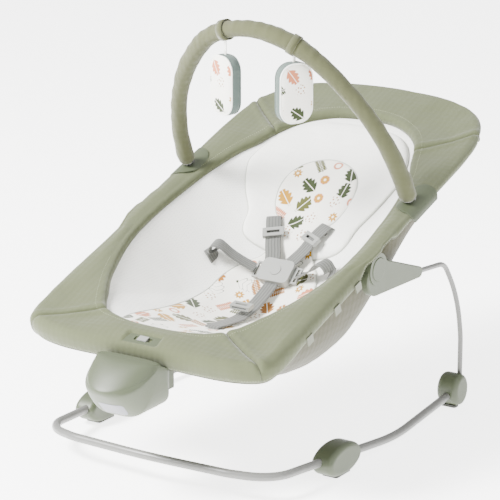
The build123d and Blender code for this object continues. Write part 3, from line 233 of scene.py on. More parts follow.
def makePrint(name, cellMm, shift, size):
    # printed cotton jersey: flat inks on off-white cloth, fine knit in the bump. Every cell of a tiling gets
    # one motif of a generic leaf print, turned and tinted at random
    material, tree, body = newMaterial(name, **{"Roughness": 0.85, "Sheen Weight": 0.2,
                                                "Specular IOR Level": 0.25})
    moved = addNode(tree, "VectorMath", addNode(tree, "UVMap", uv_map="metres"), (*shift, 0), operation="ADD")
    cells = addNode(tree, "TexVoronoi", moved, voronoi_dimensions="2D", Scale=1000 / cellMm,
                    Randomness=0.62).node.outputs
    away = addNode(tree, "VectorMath", moved, cells["Position"], operation="SUBTRACT")
    turn, kind, tint = addNode(tree, "SeparateColor", cells["Color"]).node.outputs
    turned = addNode(tree, "VectorRotate", away, rotation_type="Z_AXIS",
                     Angle=addNode(tree, "MULTIPLY", turn, 2 * math.pi))
    scaled = addNode(tree, "VectorMath", turned, operation="SCALE", Scale=1000 / (cellMm * size))
    u, v = addNode(tree, "SeparateXYZ", scaled).node.outputs[:2]
    far, length = (addNode(tree, "ABSOLUTE", axis) for axis in (v, u))
    squares = [addNode(tree, "MULTIPLY", axis, axis) for axis in (u, v)]
    reach = addNode(tree, "SQRT", addNode(tree, "ADD", *squares))

    def below(value, limit, softness=0.02):
        return addNode(tree, "MapRange", value,
                       **{"From Min": limit + softness, "From Max": limit - softness})

    # broad lobed leaf with a pale rib, and the same leaf as a line drawing
    arch = addNode(tree, "SUBTRACT", 0.19, addNode(tree, "MULTIPLY", squares[0], 1.45))
    slant = addNode(tree, "MULTIPLY_ADD", u, 17.0, addNode(tree, "MULTIPLY", far, -9.0))
    lobes = addNode(tree, "ABSOLUTE", addNode(tree, "SINE", slant))
    outline = addNode(tree, "SUBTRACT", far, addNode(tree, "MULTIPLY_ADD", lobes, 0.1, arch))
    leaf = below(outline, 0.0)
    veins = addNode(tree, "MULTIPLY", leaf, below(lobes, 0.12, 0.05))
    drawn = addNode(tree, "MAXIMUM", below(addNode(tree, "ABSOLUTE", outline), 0.014, 0.005), veins)
    leaf = addNode(tree, "MULTIPLY", leaf, addNode(tree, "SUBTRACT", 1.0, below(far, 0.014, 0.006)))
    # sprig: pairs of small oval leaflets on a stem
    repeat = addNode(tree, "PINGPONG", addNode(tree, "ADD", u, 5.0), 0.075)
    along = addNode(tree, "MULTIPLY", addNode(tree, "SUBTRACT", repeat, 0.0375), 1 / 0.036)
    across = addNode(tree, "MULTIPLY", addNode(tree, "SUBTRACT", far, 0.1), 1 / 0.085)
    oval = addNode(tree, "ADD", *(addNode(tree, "POWER", axis, 2.0) for axis in (along, across)))
    leaflets = addNode(tree, "MULTIPLY", below(oval, 1.0, 0.15), below(length, 0.34))
    stem = addNode(tree, "MULTIPLY", below(far, 0.016, 0.006), below(length, 0.4))
    sprig = addNode(tree, "MAXIMUM", leaflets, stem)
    # cluster of dots, ring-shaped pebble and eight-petalled daisy
    dots = addNode(tree, "TexVoronoi", scaled, output="Distance", voronoi_dimensions="2D", Scale=7.0,
                   Randomness=0.5)
    dotted = addNode(tree, "MULTIPLY", below(dots, 0.24, 0.04), below(reach, 0.24))
    pebble = below(addNode(tree, "ABSOLUTE", addNode(tree, "SUBTRACT", reach, 0.15)), 0.04)
    petals = addNode(tree, "COSINE", addNode(tree, "MULTIPLY", addNode(tree, "ARCTAN2", v, u), 8.0))
    petalled = addNode(tree, "SUBTRACT", reach, addNode(tree, "MULTIPLY_ADD", petals, 0.035, 0.16))
    eye = addNode(tree, "SUBTRACT", 1.0, below(reach, 0.05))
    daisy = addNode(tree, "MULTIPLY", below(petalled, 0.0), eye)

    inks = addNode(tree, "ValToRGB", tint)
    ramp = inks.node.color_ramp
    ramp.interpolation = "CONSTANT"
    for i, (place, ink) in enumerate(inkStops):
        stop = ramp.elements[i] if i < 2 else ramp.elements.new(place)
        stop.position, stop.color = place, toLinear(printInk[ink])
    colour = toLinear(printInk["ground"])
    # mask, the range of the cell's kind that it takes up and its ink, where that isn't the cell's tint
    motifs = ((leaf, 0.0, 0.34, None), (drawn, 0.34, 0.46, "fern"), (sprig, 0.46, 0.62, None),
              (dotted, 0.62, 0.74, "ochre"), (pebble, 0.74, 0.86, "blush"), (daisy, 0.86, 1.01, "sun"))
    for mask, low, high, fixed in motifs:
        chosen = addNode(tree, "MULTIPLY", addNode(tree, "GREATER_THAN", kind, low - 0.001),
                         addNode(tree, "LESS_THAN", kind, high))
        share = addNode(tree, "MULTIPLY", mask, chosen)
        colour = mixColour(tree, share, colour, inks if fixed is None else toLinear(printInk[fixed]))
    tree.links.new(colour, body.inputs["Base Color"])
    knit = addNode(tree, "TexNoise", addNode(tree, "TexCoord", output="Object"), Scale=700.0, Detail=2.0)
    tree.links.new(addNode(tree, "Bump", Strength=0.3, Distance=0.0003, Height=knit), body.inputs["Normal"])
    return material


print("materials")
rimCloth = makeFabric("paddedPolyesterWeave", "#52573E", 1.6)
sleeveCloth = makeFabric("sleevePolyesterWeave", "#4B4D34", 1.6)
slingCloth = makeFabric("slingOxfordCloth", "#464430", 2.2, mottle=0.14)
netCloth = makeNet("whiteSpacerMesh", "#F1F1EC")
headCloth = makeFabric("whiteBrushedJersey", "#F0F0EA", 1.4, mottle=0.04, softness=0.15)
heatherCloth = makeFabric("heatherFelt", "#55625D", 1.2, mottle=0.35)
pipingCloth = makeFabric("pipingTape", "#40432F", 1.2)
webbing = makeWebbing("greyPolyesterWebbing", "#686965")
printCloth = makePrint("printedJersey", 31.0, shift=(0.247, 0.131), size=1.35)
toyPrint = makePrint("printedToyFace", 30.0, shift=(0.011, 0.006), size=1.2)
seamTape = makeFabric("seamBindingTape", "#B9BAB2", 1.0)
threadCloth = makeFabric("sewingThread", "#83886C", 0.6, mottle=0.05)
greenPlastic = makePlastic("sagePolypropylene", "#454C38", 0.46)
greyPlastic = makePlastic("greyAcetal", "#868783", 0.36, grain=0.12)
palePlastic = makePlastic("paleAcetal", "#5E614E", 0.38, grain=0.1)
panelPlastic = makePlastic("lightGreyAbs", "#6F7076", 0.4, grain=0.3)
hookPlastic = makePlastic("blackAcetal", "#2A2B28", 0.4)
footRubber = makePlastic("darkFootRubber", "#3A3B36", 0.75, grain=0.6)
boardLaminate = makePlastic("circuitLaminate", "#1F5A36", 0.35)
batteryWrap = makePlastic("batteryWrap", "#5A5C60", 0.3, coat=0.4)
tubePaint = makeMetal("powderCoatedSteel", "#6C6C69", 0.34, metallic=0.0, orangePeel=0.35)
ringPaint = makeMetal("sagePowderCoat", "#4E523C", 0.45, metallic=0.0, orangePeel=0.35)
plainSteel = makeMetal("brightSteel", "#B9BABC", 0.3)

nodeFinishes = {
    tubePaint: ["front_floor_tube", "left_floor_tube", "right_floor_tube", "left_spring_rod",
                "right_spring_rod"],
    ringPaint: ["front_ring_tube", "rear_ring_tube"],
    plainSteel: ["tube_joiners", "toy_bar_tube", "foot_screws", "arm_screws", "hub_retainers", "seat_screws",
                 "left_lock_spring", "right_lock_spring", "unit_motor", "motor_weight"],
    greenPlastic: ["left_front_foot", "right_front_foot", "left_rear_foot", "right_rear_foot",
                   "left_arm_cover", "right_arm_cover", "left_arm_base", "right_arm_base",
                   "left_hub_button", "right_hub_button", "left_seat_socket", "right_seat_socket",
                   "left_bar_clip", "right_bar_clip", "unit_housing", "unit_back", "unit_bracket",
                   "battery_door", "switch_bezel"],
    greyPlastic: ["strap_adjusters", "buckle_body", "buckle_tongues", "buckle_button", "switch_slider",
                  "left_lock_gear", "right_lock_gear"],
    hookPlastic: ["bar_ends"],
    palePlastic: ["snap_tabs"],
    panelPlastic: ["unit_button"],
    footRubber: ["foot_pads"],
    boardLaminate: ["circuit_board"],
    batteryWrap: ["battery"],
}
for finish, names in nodeFinishes.items():
    for nodeName in names:
        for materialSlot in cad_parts[nodeName].material_slots:
            materialSlot.material = finish


# ---- mesh helpers
def gridPiece(name, rows, material, closeRows=False, closeColumns=False, uvs=None):
    # quads through rows of points, optionally joined end to start
    mesh = bpy.data.meshes.new(name)
    wide = len(rows[0])
    faces = []
    for i in range(len(rows) if closeRows else len(rows) - 1):
        for j in range(wide if closeColumns else wide - 1):
            k, l = (i + 1) % len(rows), (j + 1) % wide
            faces.append((i * wide + j, i * wide + l, k * wide + l, k * wide + j))
    mesh.from_pydata([point for row in rows for point in row], [], faces)
    if uvs:
        layer = mesh.uv_layers.new(name="metres")
        flat = [uv for row in uvs for uv in row]
        for loop in mesh.loops:
            layer.data[loop.index].uv = flat[loop.vertex_index]
    return registerMesh(name, mesh, material)


def registerMesh(name, mesh, material):
    mesh.materials.append(material)
    for face in mesh.polygons:
        face.use_smooth = True
    piece = bpy.data.objects.new(name, mesh)
    bpy.context.scene.collection.objects.link(piece)
    return piece


def selectOnly(*pieces):
    bpy.ops.object.select_all(action="DESELECT")
    for piece in pieces:
        piece.select_set(True)
    bpy.context.view_layer.objects.active = pieces[0]


def applyModifier(piece, kind, **settings):
    modifier = piece.modifiers.new(kind, kind)
    for key, value in settings.items():
        setattr(modifier, key, value)
    selectOnly(piece)
    bpy.ops.object.modifier_apply(modifier=modifier.name)


def closeUp(piece, mergeMm=0.05):
    # merges doubles and turns every face outwards
    data = bmesh.new()
    data.from_mesh(piece.data)
    bmesh.ops.remove_doubles(data, verts=data.verts, dist=mergeMm * mm)
    bmesh.ops.recalc_face_normals(data, faces=data.faces)
    data.to_mesh(piece.data)
    data.free()
    return piece


def capEnds(piece):
    # fills the open ends and turns every face outwards
    data = bmesh.new()
    data.from_mesh(piece.data)
    bmesh.ops.holes_fill(data, edges=[e for e in data.edges if e.is_boundary])
    bmesh.ops.recalc_face_normals(data, faces=data.faces)
    data.to_mesh(piece.data)
    data.free()
    return piece


def joinPieces(first, *others):
    selectOnly(first, *others)
    bpy.ops.object.join()
    return first


def finishPiece(piece, body, slotName, *nodes):
    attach(piece, body)
    if nodes:
        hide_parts(*nodes)
    return piece


def tubeRing(centre, across, up, radius, sides):
    return [centre + across * (radius * math.cos(2 * math.pi * k / sides))
            + up * (radius * math.sin(2 * math.pi * k / sides)) for k in range(sides)]


def tubePiece(name, path, radius, material, closed=False, sides=8, normals=None):
    # round cord or piping along a list of points, its radius in metres
    rows = []
    for i, point in enumerate(path):
        last = path[i - 1] if closed or i else point
        following = path[(i + 1) % len(path)] if closed or i < len(path) - 1 else point
        tangent = (following - last).normalized()
        side = tangent.cross(normals[i] if normals else Vector((0, 0, 1)))
        side = side.normalized() if side.length > 1e-6 else Vector((1, 0, 0))
        rows.append(tubeRing(point, side, side.cross(tangent), radius, sides))
    if not closed:
        rows = [[path[0]] * sides] + rows + [[path[-1]] * sides]
    return closeUp(gridPiece(name, rows, material, closeRows=closed, closeColumns=True), 0.01)


def stitchRow(name, path, normals, material, pitch=0.0042, length=0.0026, thick=0.00055):
    # short raised threads along a path
    points, faces, carried = [], [], 0.0
    for a, b, normal in zip(path, path[1:], normals):
        step = (b - a).length
        while carried < step:
            centre = a + (b - a) * (carried / step)
            along = (b - a).normalized() * (length / 2)
            side = along.cross(normal).normalized() * thick
            lift = normal * thick * 1.4
            base = len(points)
            points += [centre - along, centre - side, centre + along, centre + side, centre + lift]
            faces += [(base + k, base + (k + 1) % 4, base + 4) for k in range(4)]
            carried += pitch
        carried -= step
    mesh = bpy.data.meshes.new(name)
    mesh.from_pydata(points, [], faces)
    return registerMesh(name, mesh, material)


# ---- camera, floor and lights
view = {"place": (2.208, -3.4175, 1.506), "pitch": 73.281, "turn": 32.999, "fieldDeg": 10.387}
bpy.ops.object.camera_add(location=view["place"],
                          rotation=(math.radians(view["pitch"]), 0, math.radians(view["turn"])))
camera = bpy.context.object
camera.data.sensor_width = 36
camera.data.lens = camera.data.sensor_width / 2 / math.tan(math.radians(view["fieldDeg"] / 2))
camera.data.clip_end = 50
bpy.context.scene.camera = camera

studio = {"worldStrength": 1.05, "floorGlow": 3.6,
          # place, power and size of the key light and of the fill light
          "lamps": (((-1.6, -1.9, 2.6), 520, 1.1), ((2.4, -0.6, 2.2), 40, 2.4))}
bpy.ops.mesh.primitive_plane_add(size=30, location=(0, 0, -0.0005))
floor = bpy.context.object
floor.name = "studioFloor"
selectOnly(floor)
bpy.ops.object.transform_apply(location=True)
floor.data.materials.append(newMaterial("seamlessPaper", **{
    "Base Color": toLinear("#FBFBFA"), "Roughness": 0.9, "Specular IOR Level": 0.1,
    "Emission Color": (1, 1, 1, 1), "Emission Strength": studio["floorGlow"]})[0])
world = bpy.data.worlds.new("studioWorld")
bpy.context.scene.world = world
world.use_nodes = True
background = world.node_tree.nodes["Background"]
background.inputs["Color"].default_value = (1, 1, 1, 1)
background.inputs["Strength"].default_value = studio["worldStrength"]
for place, power, size in studio["lamps"]:
    bpy.ops.object.light_add(type="AREA", location=place)
    lamp = bpy.context.object
    lamp.data.energy, lamp.data.size = power, size
    lamp.rotation_euler = (Vector((0, 0, 0.3)) - Vector(place)).to_track_quat("-Z", "Y").to_euler()
print("camera and lights")

# ---- padded rim
# half holds the rim from the middle of the foot end round to the middle of the head end, as x and s of its
# outer edge and x and s of its opening
rim = {
    "half": ((0, -312, 0, -251), (90, -311.5, 48, -249), (158, -308, 82, -241), (205, -295, 105, -231),
             (218, -272, 120, -214), (221.5, -232, 135, -188), (222, -150, 160, -138), (222, -64, 181, -66),
             (222, 10, 188, -2), (222, 85, 185, 75), (222, 165, 175, 158), (222, 250, 159, 226),
             (220, 318, 141, 268), (210, 371, 129, 300), (187, 416, 112, 330), (146, 446, 86, 355),
             (80, 462, 48, 374), (0, 467, 0, 380)),
    "stepsPerKey": 28, "top": 18.0, "bottom": -12.0, "rearBottom": 4.0, "frontBottom": -19.0,
    # the underside's height over the arms, the rounded edges, the lip in the opening and how far outside it
    # the underside starts
    "overArm": 12.0, "roll": 14, "innerRoll": 8, "innerRollDepth": 10, "lipDepth": 18, "tuck": 6,
    # how far the top swells where the rim is narrow and sinks where it is wide, and how far its side stands
    # out at the seat sockets
    "crown": 3.0, "dip": 4.0, "socketBulge": 3.6,
}
rimLines = smoothLoop(rim["half"], rim["stepsPerKey"])


def rimLow(s):
    return rim["bottom"] + (rim["rearBottom"] - rim["bottom"]) * ease(s, 20, 110)


def rimSection(x, s, wide):
    # points (distance from the outer edge, height) once round the section
    low = rimLow(s) + (rim["frontBottom"] - rim["bottom"]) * ease(-s, 180, 290)
    overArm = ease(s, -42, -6) * (1 - ease(s, 62, 90)) * ease(abs(x), 150, 200)
    low = low + (rim["overArm"] - low) * overArm
    top = rim["top"] + 2 * ease(s, 360, 455) * (1 - ease(abs(x), 60, 190))
    half = (top - low) / 2
    roll, innerRoll = min(rim["roll"], half), rim["innerRoll"]
    points = [(roll - roll * math.cos(a), low + half + half * math.sin(a))
              for a in (math.radians(-90 + 180 * k / 12) for k in range(13))]
    flat = wide - roll - innerRoll
    dip = rim["dip"] * ease(wide, 70, 130)
    crown = rim["crown"] * (1 - ease(wide, 60, 120))
    for k in range(1, 14):
        t = k / 14
        points.append((roll + flat * t, top + (crown - dip) * math.sin(math.pi * t) - 2.0 * t))
    for k in range(6):
        a = math.radians(90 * k / 5)
        points.append((wide - innerRoll + innerRoll * math.sin(a),
                       top - rim["innerRollDepth"] + innerRoll * math.cos(a)))
    points += [(wide - 0.5, top - rim["lipDepth"]), (wide - 3, low + 3 if low < 0 else low - 2)]
    tucked = wide - rim["tuck"]
    points += [(tucked + (roll + 2 - tucked) * k / 5, low + 1.2) for k in range(5)]
    return points


# each seam's two ends as x and s, the groove's depth and width, and the swelling beside it
rimSeam = {"ends": (((105, -231), (205, -295)), ((129, 300), (210, 371))), "depth": 3.4, "width": 2.4,
           "swell": 1.6, "swellAway": 9, "swellWidth": 6}


def seamDepth(x, s):
    # a sewn groove with the padding swelling on both sides of it
    depth = 0.0
    for (ax, ay), (bx, by) in rimSeam["ends"]:
        length = math.hypot(bx - ax, by - ay)
        away = abs((bx - ax) * (ay - s) - (ax - abs(x)) * (by - ay)) / length
        groove = rimSeam["depth"] * math.exp(-(away / rimSeam["width"]) ** 2)
        swelling = rimSeam["swell"] * math.exp(-((away - rimSeam["swellAway"]) / rimSeam["swellWidth"]) ** 2)
        depth += groove - swelling
    return depth


window = {"s": -290.0, "width": 62.0, "length": 24.0, "depth": 5.6}


def windowDepth(x, s):
    # the cloth is cut away over the switch
    return window["depth"] * (1 - ease(abs(x) - window["width"] / 2, -4, 0)) * (
        1 - ease(abs(s - window["s"]) - window["length"] / 2, -4, 0))


def wrinkle(point, scale, size):
    return (noise.noise(point * scale) + 0.5 * noise.noise(point * scale * 2.3 + Vector((3, 1, 7)))) * size


def buildRim():
    rows = []
    for outerX, outerS, openX, openS in rimLines:
        wide = math.hypot(outerX - openX, outerS - openS)
        ux, us = (openX - outerX) / wide, (openS - outerS) / wide
        row = []
        for k, (u, n) in enumerate(rimSection(outerX, outerS, wide)):
            x, s = outerX + ux * u, outerS + us * u
            if n > rim["top"] - 14:
                n -= seamDepth(x, s) + windowDepth(x, s)
            corner = ease(wide, 60, 120)
            point = seatPoint(x, s, n)
            bump = wrinkle(point, 16, 1.0 + 1.6 * corner) if 2 < k < 30 else 0
            beside = ease(s, -14, 2) * (1 - ease(s, 24, 42)) * ease(abs(x), 200, 220)
            out = bump + rim["socketBulge"] * beside
            row.append(seatPoint(x - ux * out * (k < 12), s - us * out * (k < 12), n + bump * (k >= 12)))
        rows.append(row)
    piece = closeUp(gridPiece("rimCover", rows, rimCloth, closeRows=True, closeColumns=True), 0.02)
    finishPiece(piece, "seat", "rim_fabric", "rim_cover")
    for key in (3, 13, 21, 31):
        # the seam's cord lies in the groove across the padding
        seam = rows[key * rim["stepsPerKey"]]
        cord = tubePiece(f"rimSeam{key}", seam[3:27], 0.0009, pipingCloth, sides=6)
        finishPiece(cord, "seat", "rim_fabric")
    piping = tubePiece("rimPiping", [row[1] for row in rows], 0.0016, pipingCloth, closed=True)
    finishPiece(piping, "seat", "rim_fabric")
    for name, k in (("rimStitchesLow", 4), ("rimStitchesOpening", 25)):
        path = [row[k] for row in rows] + [rows[0][k]]
        around = [(row[k + 1] - row[k - 1]).cross(rows[(i + 1) % len(rows)][k] - row[k]).normalized()
                  for i, row in enumerate(rows)]
        outward = [n if n.dot(row[k] - seatPoint(0, 60, -60)) > 0 else -n for n, row in zip(around, rows)]
        finishPiece(stitchRow(name, path, outward, threadCloth), "seat", "rim_fabric")


buildRim()
print("rim")

# ---- liner and the sling under it
# s, half width of the opening, height of the liner on the middle line
linerTable = ((-250, 84, 2), (-228, 112, -14), (-190, 137, -40), (-130, 166, -77), (-64, 182, -110),
              (-5, 188, -123), (55, 186, -110), (115, 181, -88), (175, 172, -62), (230, 160, -36),
              (285, 141, -15), (335, 112, -2), (372, 55, 3))
linerEdge = 4.0


def linerHeight(x, s):
    half = max(smoothAt(linerTable, s, 1), 20)
    middle = smoothAt(linerTable, s, 2)
    return linerEdge + (middle - linerEdge) * (1 - min(abs(x) / half, 1) ** 2)


def radialGrid(boundary, spineLow, spineHigh, levels, heightOf):
    # rings of points from a spine on the middle line out to a boundary of (x, s)
    rows, uvs = [], []
    for x, s in boundary:
        middle = min(max(s, spineLow), spineHigh)
        row, uvRow = [], []
        for t in levels:
            px, ps = x * t, middle + (s - middle) * t
            row.append(seatPoint(px, ps, heightOf(px, ps, t)))
            uvRow.append((px * mm, ps * mm))
        rows.append(row)
        uvs.append(uvRow)
    return rows, uvs


def linerLook(x, s, t):
    # a shallow fold on each side, towards the foot end
    fold = 2.2 * math.exp(-((abs(x) - 95 + 0.25 * s) / 14) ** 2) * ease(-s, -40, 60)
    return linerHeight(x, s) + wrinkle(seatPoint(x, s, 0), 14, 2.2) * (1 - t ** 6) - fold


# the liner reaches under the rim a little all round
linerBoundary = [(x * 1.02, s + (4 if s > 300 else -3 if s < -200 else 0)) for *outer, x, s in rimLines]
rows, uvs = radialGrid(linerBoundary, -190, 280, [k / 44 for k in range(45)], linerLook)
liner = closeUp(gridPiece("seatLiner", rows, netCloth, closeRows=True, uvs=uvs))
applyModifier(liner, "SOLIDIFY", thickness=0.004, offset=-1)
finishPiece(liner, "seat", "mesh_fabric", "seat_liner")

# s and how far the sling hangs down on the middle line
slingTable = ((-300, 3), (-280, 4), (-262, 8), (-235, 44), (-190, 86), (-130, 120), (-64, 140), (-5, 145),
              (55, 127), (115, 94), (175, 64), (230, 42), (285, 27), (335, 18), (375, 11), (410, 4),
              (440, 0.4))


def outerHalf(s):
    # half width of the rim's outline at s
    front = 222 - 30 * ease(-s, 262, 300)
    return front - 60 * ease(s, 360, 440) - 60 * ease(s, 430, 462)


slingHem = {"n": -12.5, "inside": 22, "maxHalf": 200}


def slingRow(s):
    # the hem lies under the rim, higher towards the head end
    low = rimLow(s)
    depth = smoothAt(slingTable, s, 1)
    half = min(slingHem["maxHalf"], outerHalf(s) - slingHem["inside"])
    row = []
    for k in range(41):
        turn = math.pi * k / 40
        x = -half * math.copysign(abs(math.cos(turn)) ** 0.5, math.cos(turn))
        drop = depth * math.sin(turn)
        top = slingHem["n"]
        if s >= 20:
            top += (low - rim["bottom"]) * math.exp(-drop / 14) * ease(s, 20, 110)
        point = seatPoint(x, s, top - drop)
        row.append(seatPoint(x, s, top - drop + wrinkle(point, 12, 2.6) * min(drop / 12, 1)))
    return row


sling = gridPiece("seatSling", [slingRow(-296 + 6 * k) for k in range(123)], slingCloth)
applyModifier(sling, "SOLIDIFY", thickness=0.002, offset=1)
closeUp(sling)
finishPiece(sling, "seat", "sling_fabric", "seat_sling")
print("liner and sling")

# ---- head support and printed insert
pads = {
    "headBoundary": ((0, 104), (46, 104), (84, 108), (96, 122), (101, 150), (121, 180), (136, 215),
                     (138, 240), (128, 280), (104, 322), (74, 346), (36, 355), (0, 357)),
    "headThick": 13.0, "headLift": 1.0,
    "insertHalf": ((0, -243), (40, -243), (74, -240), (82, -228), (88, -190), (90, -120), (90, -60),
                   (88, -10), (84, 30), (68, 68), (48, 92), (38, 108), (33, 124), (34, 138), (44, 150),
                   (55, 160), (64, 177), (68, 200), (64, 224), (52, 245), (34, 259), (16, 266), (0, 268)),
    "insertThick": 6.5,
}


def padPiece(name, boundary, spine, levels, upper, lower, material):
    # closed pad: an upper and a lower surface that meet along a boundary
    top, uvs = radialGrid(boundary, *spine, levels, upper)
    under, uvsUnder = radialGrid(boundary, *spine, levels, lower)
    rows = [a + b[::-1] for a, b in zip(top, under)]
    uvRows = [a + b[::-1] for a, b in zip(uvs, uvsUnder)]
    return closeUp(gridPiece(name, rows, material, closeRows=True, uvs=uvRows))


def buildHeadSupport():
    boundary = smoothLoop(pads["headBoundary"])
    levels = [0, 0.12, 0.25, 0.37, 0.48, 0.58, 0.66, 0.73, 0.79, 0.84, 0.88, 0.92, 0.95, 0.975, 0.99, 1.0]
    lift = pads["headLift"]

    def upper(x, s, t):
        puff = pads["headThick"] * (1 - t ** 7) ** 0.5
        return linerHeight(x, s) + lift + puff + wrinkle(seatPoint(x, s, 0), 22, 2.2) * (1 - t ** 4)

    def lower(x, s, t):
        return linerHeight(x, s) + lift - 0.6 * (1 - t ** 8)

    piece = padPiece("headSupport", boundary, (150, 300), levels, upper, lower, headCloth)
    finishPiece(piece, "seat", "white_fabric", "head_support")
    edge = [seatPoint(x, s, linerHeight(x, s) + lift + 0.8) for x, s in boundary]
    finishPiece(tubePiece("headPiping", edge, 0.0014, seamTape, closed=True), "seat", "white_fabric")


def insertLift(s):
    # the insert rides up onto the head support
    return 0.8 + (pads["headThick"] - pads["headLift"]) * ease(s, 84, 124)


def buildInsert():
    boundary = smoothLoop(pads["insertHalf"])
    levels = [k / 16 for k in range(13)] + [0.8, 0.85, 0.9, 0.94, 0.97, 0.99, 1.0]

    def upper(x, s, t):
        puff = pads["insertThick"] * (1 - t ** 8) ** 0.5
        puff -= 2.6 * math.exp(-((s - 66) / 6) ** 2) * (1 - t ** 4)
        return linerHeight(x, s) + insertLift(s) + puff + wrinkle(seatPoint(x, s, 0), 26, 1.8) * (1 - t ** 4)

    def lower(x, s, t):
        return linerHeight(x, s) + insertLift(s) - 0.3

    piece = padPiece("seatInsert", boundary, (-215, 200), levels, upper, lower, printCloth)
    finishPiece(piece, "seat", "print_fabric", "seat_insert")
    edge = [seatPoint(x, s, linerHeight(x, s) + insertLift(s) + 1.5) for x, s in boundary]
    finishPiece(tubePiece("insertPiping", edge, 0.0011, seamTape, closed=True), "seat", "print_fabric")


buildHeadSupport()
buildInsert()
print("pads")


def seatTop(x, s):
    # highest soft surface of the seat at a place
    height = linerHeight(x, s) + 1
    if s > 104 and abs(x) < 100:
        height = linerHeight(x, s) + 1 + pads["headThick"]
    if abs(x) < 85 and s < 66 or abs(x) < 60:
        height = max(height, linerHeight(x, s) + insertLift(s) + pads["insertThick"])
    return height


# ---- harness straps
harness = {"slot": (50, 147), "rise": 22.5, "buckleTop": (20, 85), "waistSlot": (104, 48),
           "width": 25.0, "thick": 2.0}
# once round flat webbing, as shares of its half width and its thickness
strapSection = ([(-1, 0), (-0.97, 0.5)] + [(a / 5, 0.5) for a in range(-4, 5)]
                + [(0.97, 0.5), (1, 0), (0.97, -0.5)] + [(a / 5, -0.5) for a in range(4, -5, -1)]
                + [(-0.97, -0.5)])


def strapPiece(name, path, twistDeg=(0, 0)):
    # path holds (x, s, n) in the seat's millimetres, and the webbing's width stays square to it
    points = [Vector(p) for p in path]
    dense = [Vector(curveAt(points, i, step / 10, closed=False))
             for i in range(len(points) - 1) for step in range(10)]
    dense.append(points[-1])
    rows, uvs, travelled = [], [], 0.0
    for i, point in enumerate(dense):
        ahead = dense[min(i + 1, len(dense) - 1)] - dense[max(i - 1, 0)]
        if i:
            travelled += (point - dense[i - 1]).length
        side = Vector((0, 0, 1)).cross(ahead).normalized()
        up = ahead.normalized().cross(side) * -1
        up = up if up.z > 0 else -up
        share = i / (len(dense) - 1)
        roll = math.radians(twistDeg[0] + (twistDeg[1] - twistDeg[0]) * share)
        side, up = side * math.cos(roll) + up * math.sin(roll), up * math.cos(roll) - side * math.sin(roll)
        ring, uvRow = [], []
        for u, v in strapSection:
            across = u * harness["width"] / 2
            ring.append(seatPoint(*(point + side * across + up * (v * harness["thick"] - 0.5 * u * u))))
            uvRow.append((across * mm, travelled * mm))
        rows.append(ring)
        uvs.append(uvRow)
    return capEnds(gridPiece(name, rows, webbing, closeColumns=True, uvs=uvs))


def mirrored(path):
    return [(-x, s, n) for x, s, n in path]


sx, ss = harness["slot"]
shoulderPath = [(sx, ss + 1, linerHeight(sx, ss) + 8), (sx, ss, linerHeight(sx, ss) + harness["rise"] - 2),
                (sx - 3, ss - 7, seatTop(sx - 3, ss - 7) + 5.5), (39, 124, seatTop(39, 124) + 7),
                (30, 103, -66), (harness["buckleTop"][0] + 2, harness["buckleTop"][1] + 3, -73.5),
                (harness["buckleTop"][0] - 3, harness["buckleTop"][1] - 8, -77.5)]
shoulder = joinPieces(strapPiece("shoulderStraps", shoulderPath),
                      strapPiece("shoulderStrapOther", mirrored(shoulderPath)))
finishPiece(shoulder, "seat", "webbing", "shoulder_straps")
wx, ws = harness["waistSlot"]
wn = linerHeight(wx, ws)
waistPath = [(wx + 1, ws - 1, wn), (wx + 6, ws - 1, wn + 16), (wx + 1, ws, wn + 29),
             (wx - 12, ws + 2, wn + 30), (75, 54, -64), (56, 58, -79), (39, 60, -88)]
waist = joinPieces(strapPiece("waistStraps", waistPath, twistDeg=(0, 10)),
                   strapPiece("waistStrapOther", mirrored(waistPath), twistDeg=(0, -10)))
finishPiece(waist, "seat", "webbing", "waist_straps")
crotchPath = [(0, -130, linerHeight(0, -128) + 2), (0, -126, linerHeight(0, -128) + 9),
              (0, -100, linerHeight(0, -100) + 13), (0, -50, linerHeight(0, -50) + 15), (0, 0, -102),
              (0, 40, -97.5)]
crotch = strapPiece("crotchStrap", crotchPath)
finishPiece(crotch, "seat", "webbing", "crotch_strap")
print("harness")

# ---- sleeve on the toy bar
bar = {"pivotS": 152, "pivotN": 29.5, "halfSpan": 204.0, "height": 291.0, "topRadius": 145.0,
       "lean": math.radians(26), "radius": 13.6, "start": -4.0}
barPivot = seatPoint(0, bar["pivotS"], bar["pivotN"]) / mm
# where the bar's round top starts, and the direction square to the bar's plane
barRest = bar["height"] - bar["topRadius"]
barOutward = Vector((0, -math.cos(bar["lean"]), -math.sin(bar["lean"])))


def barPoint(u, v):
    # place in the bar's own plane: u across, v up it
    return Vector((u, barPivot.y - v * math.sin(bar["lean"]), barPivot.z + v * math.cos(bar["lean"]))) * mm


def barTop(x):
    # place on the round top at a distance from the middle
    return barPoint(x, barRest + math.sqrt(bar["topRadius"] ** 2 - x ** 2))


def barLine(rise):
    # one side's large arc, the round top and the other side
    halfSpan, topRadius = bar["halfSpan"], bar["topRadius"]
    sideRadius = (halfSpan ** 2 + barRest ** 2 - topRadius ** 2) / (2 * (halfSpan - topRadius))
    turn = math.atan2(barRest, sideRadius - halfSpan)
    first = rise / sideRadius
    sideTurns = [first + (turn - first) * k / 40 for k in range(40)]
    side = [(halfSpan - sideRadius + sideRadius * math.cos(a), sideRadius * math.sin(a)) for a in sideTurns]
    topTurns = [turn + (math.pi - 2 * turn) * k / 60 for k in range(61)]
    top = [(topRadius * math.cos(a), barRest + topRadius * math.sin(a)) for a in topTurns]
    return side + top + [(-u, v) for u, v in reversed(side)]


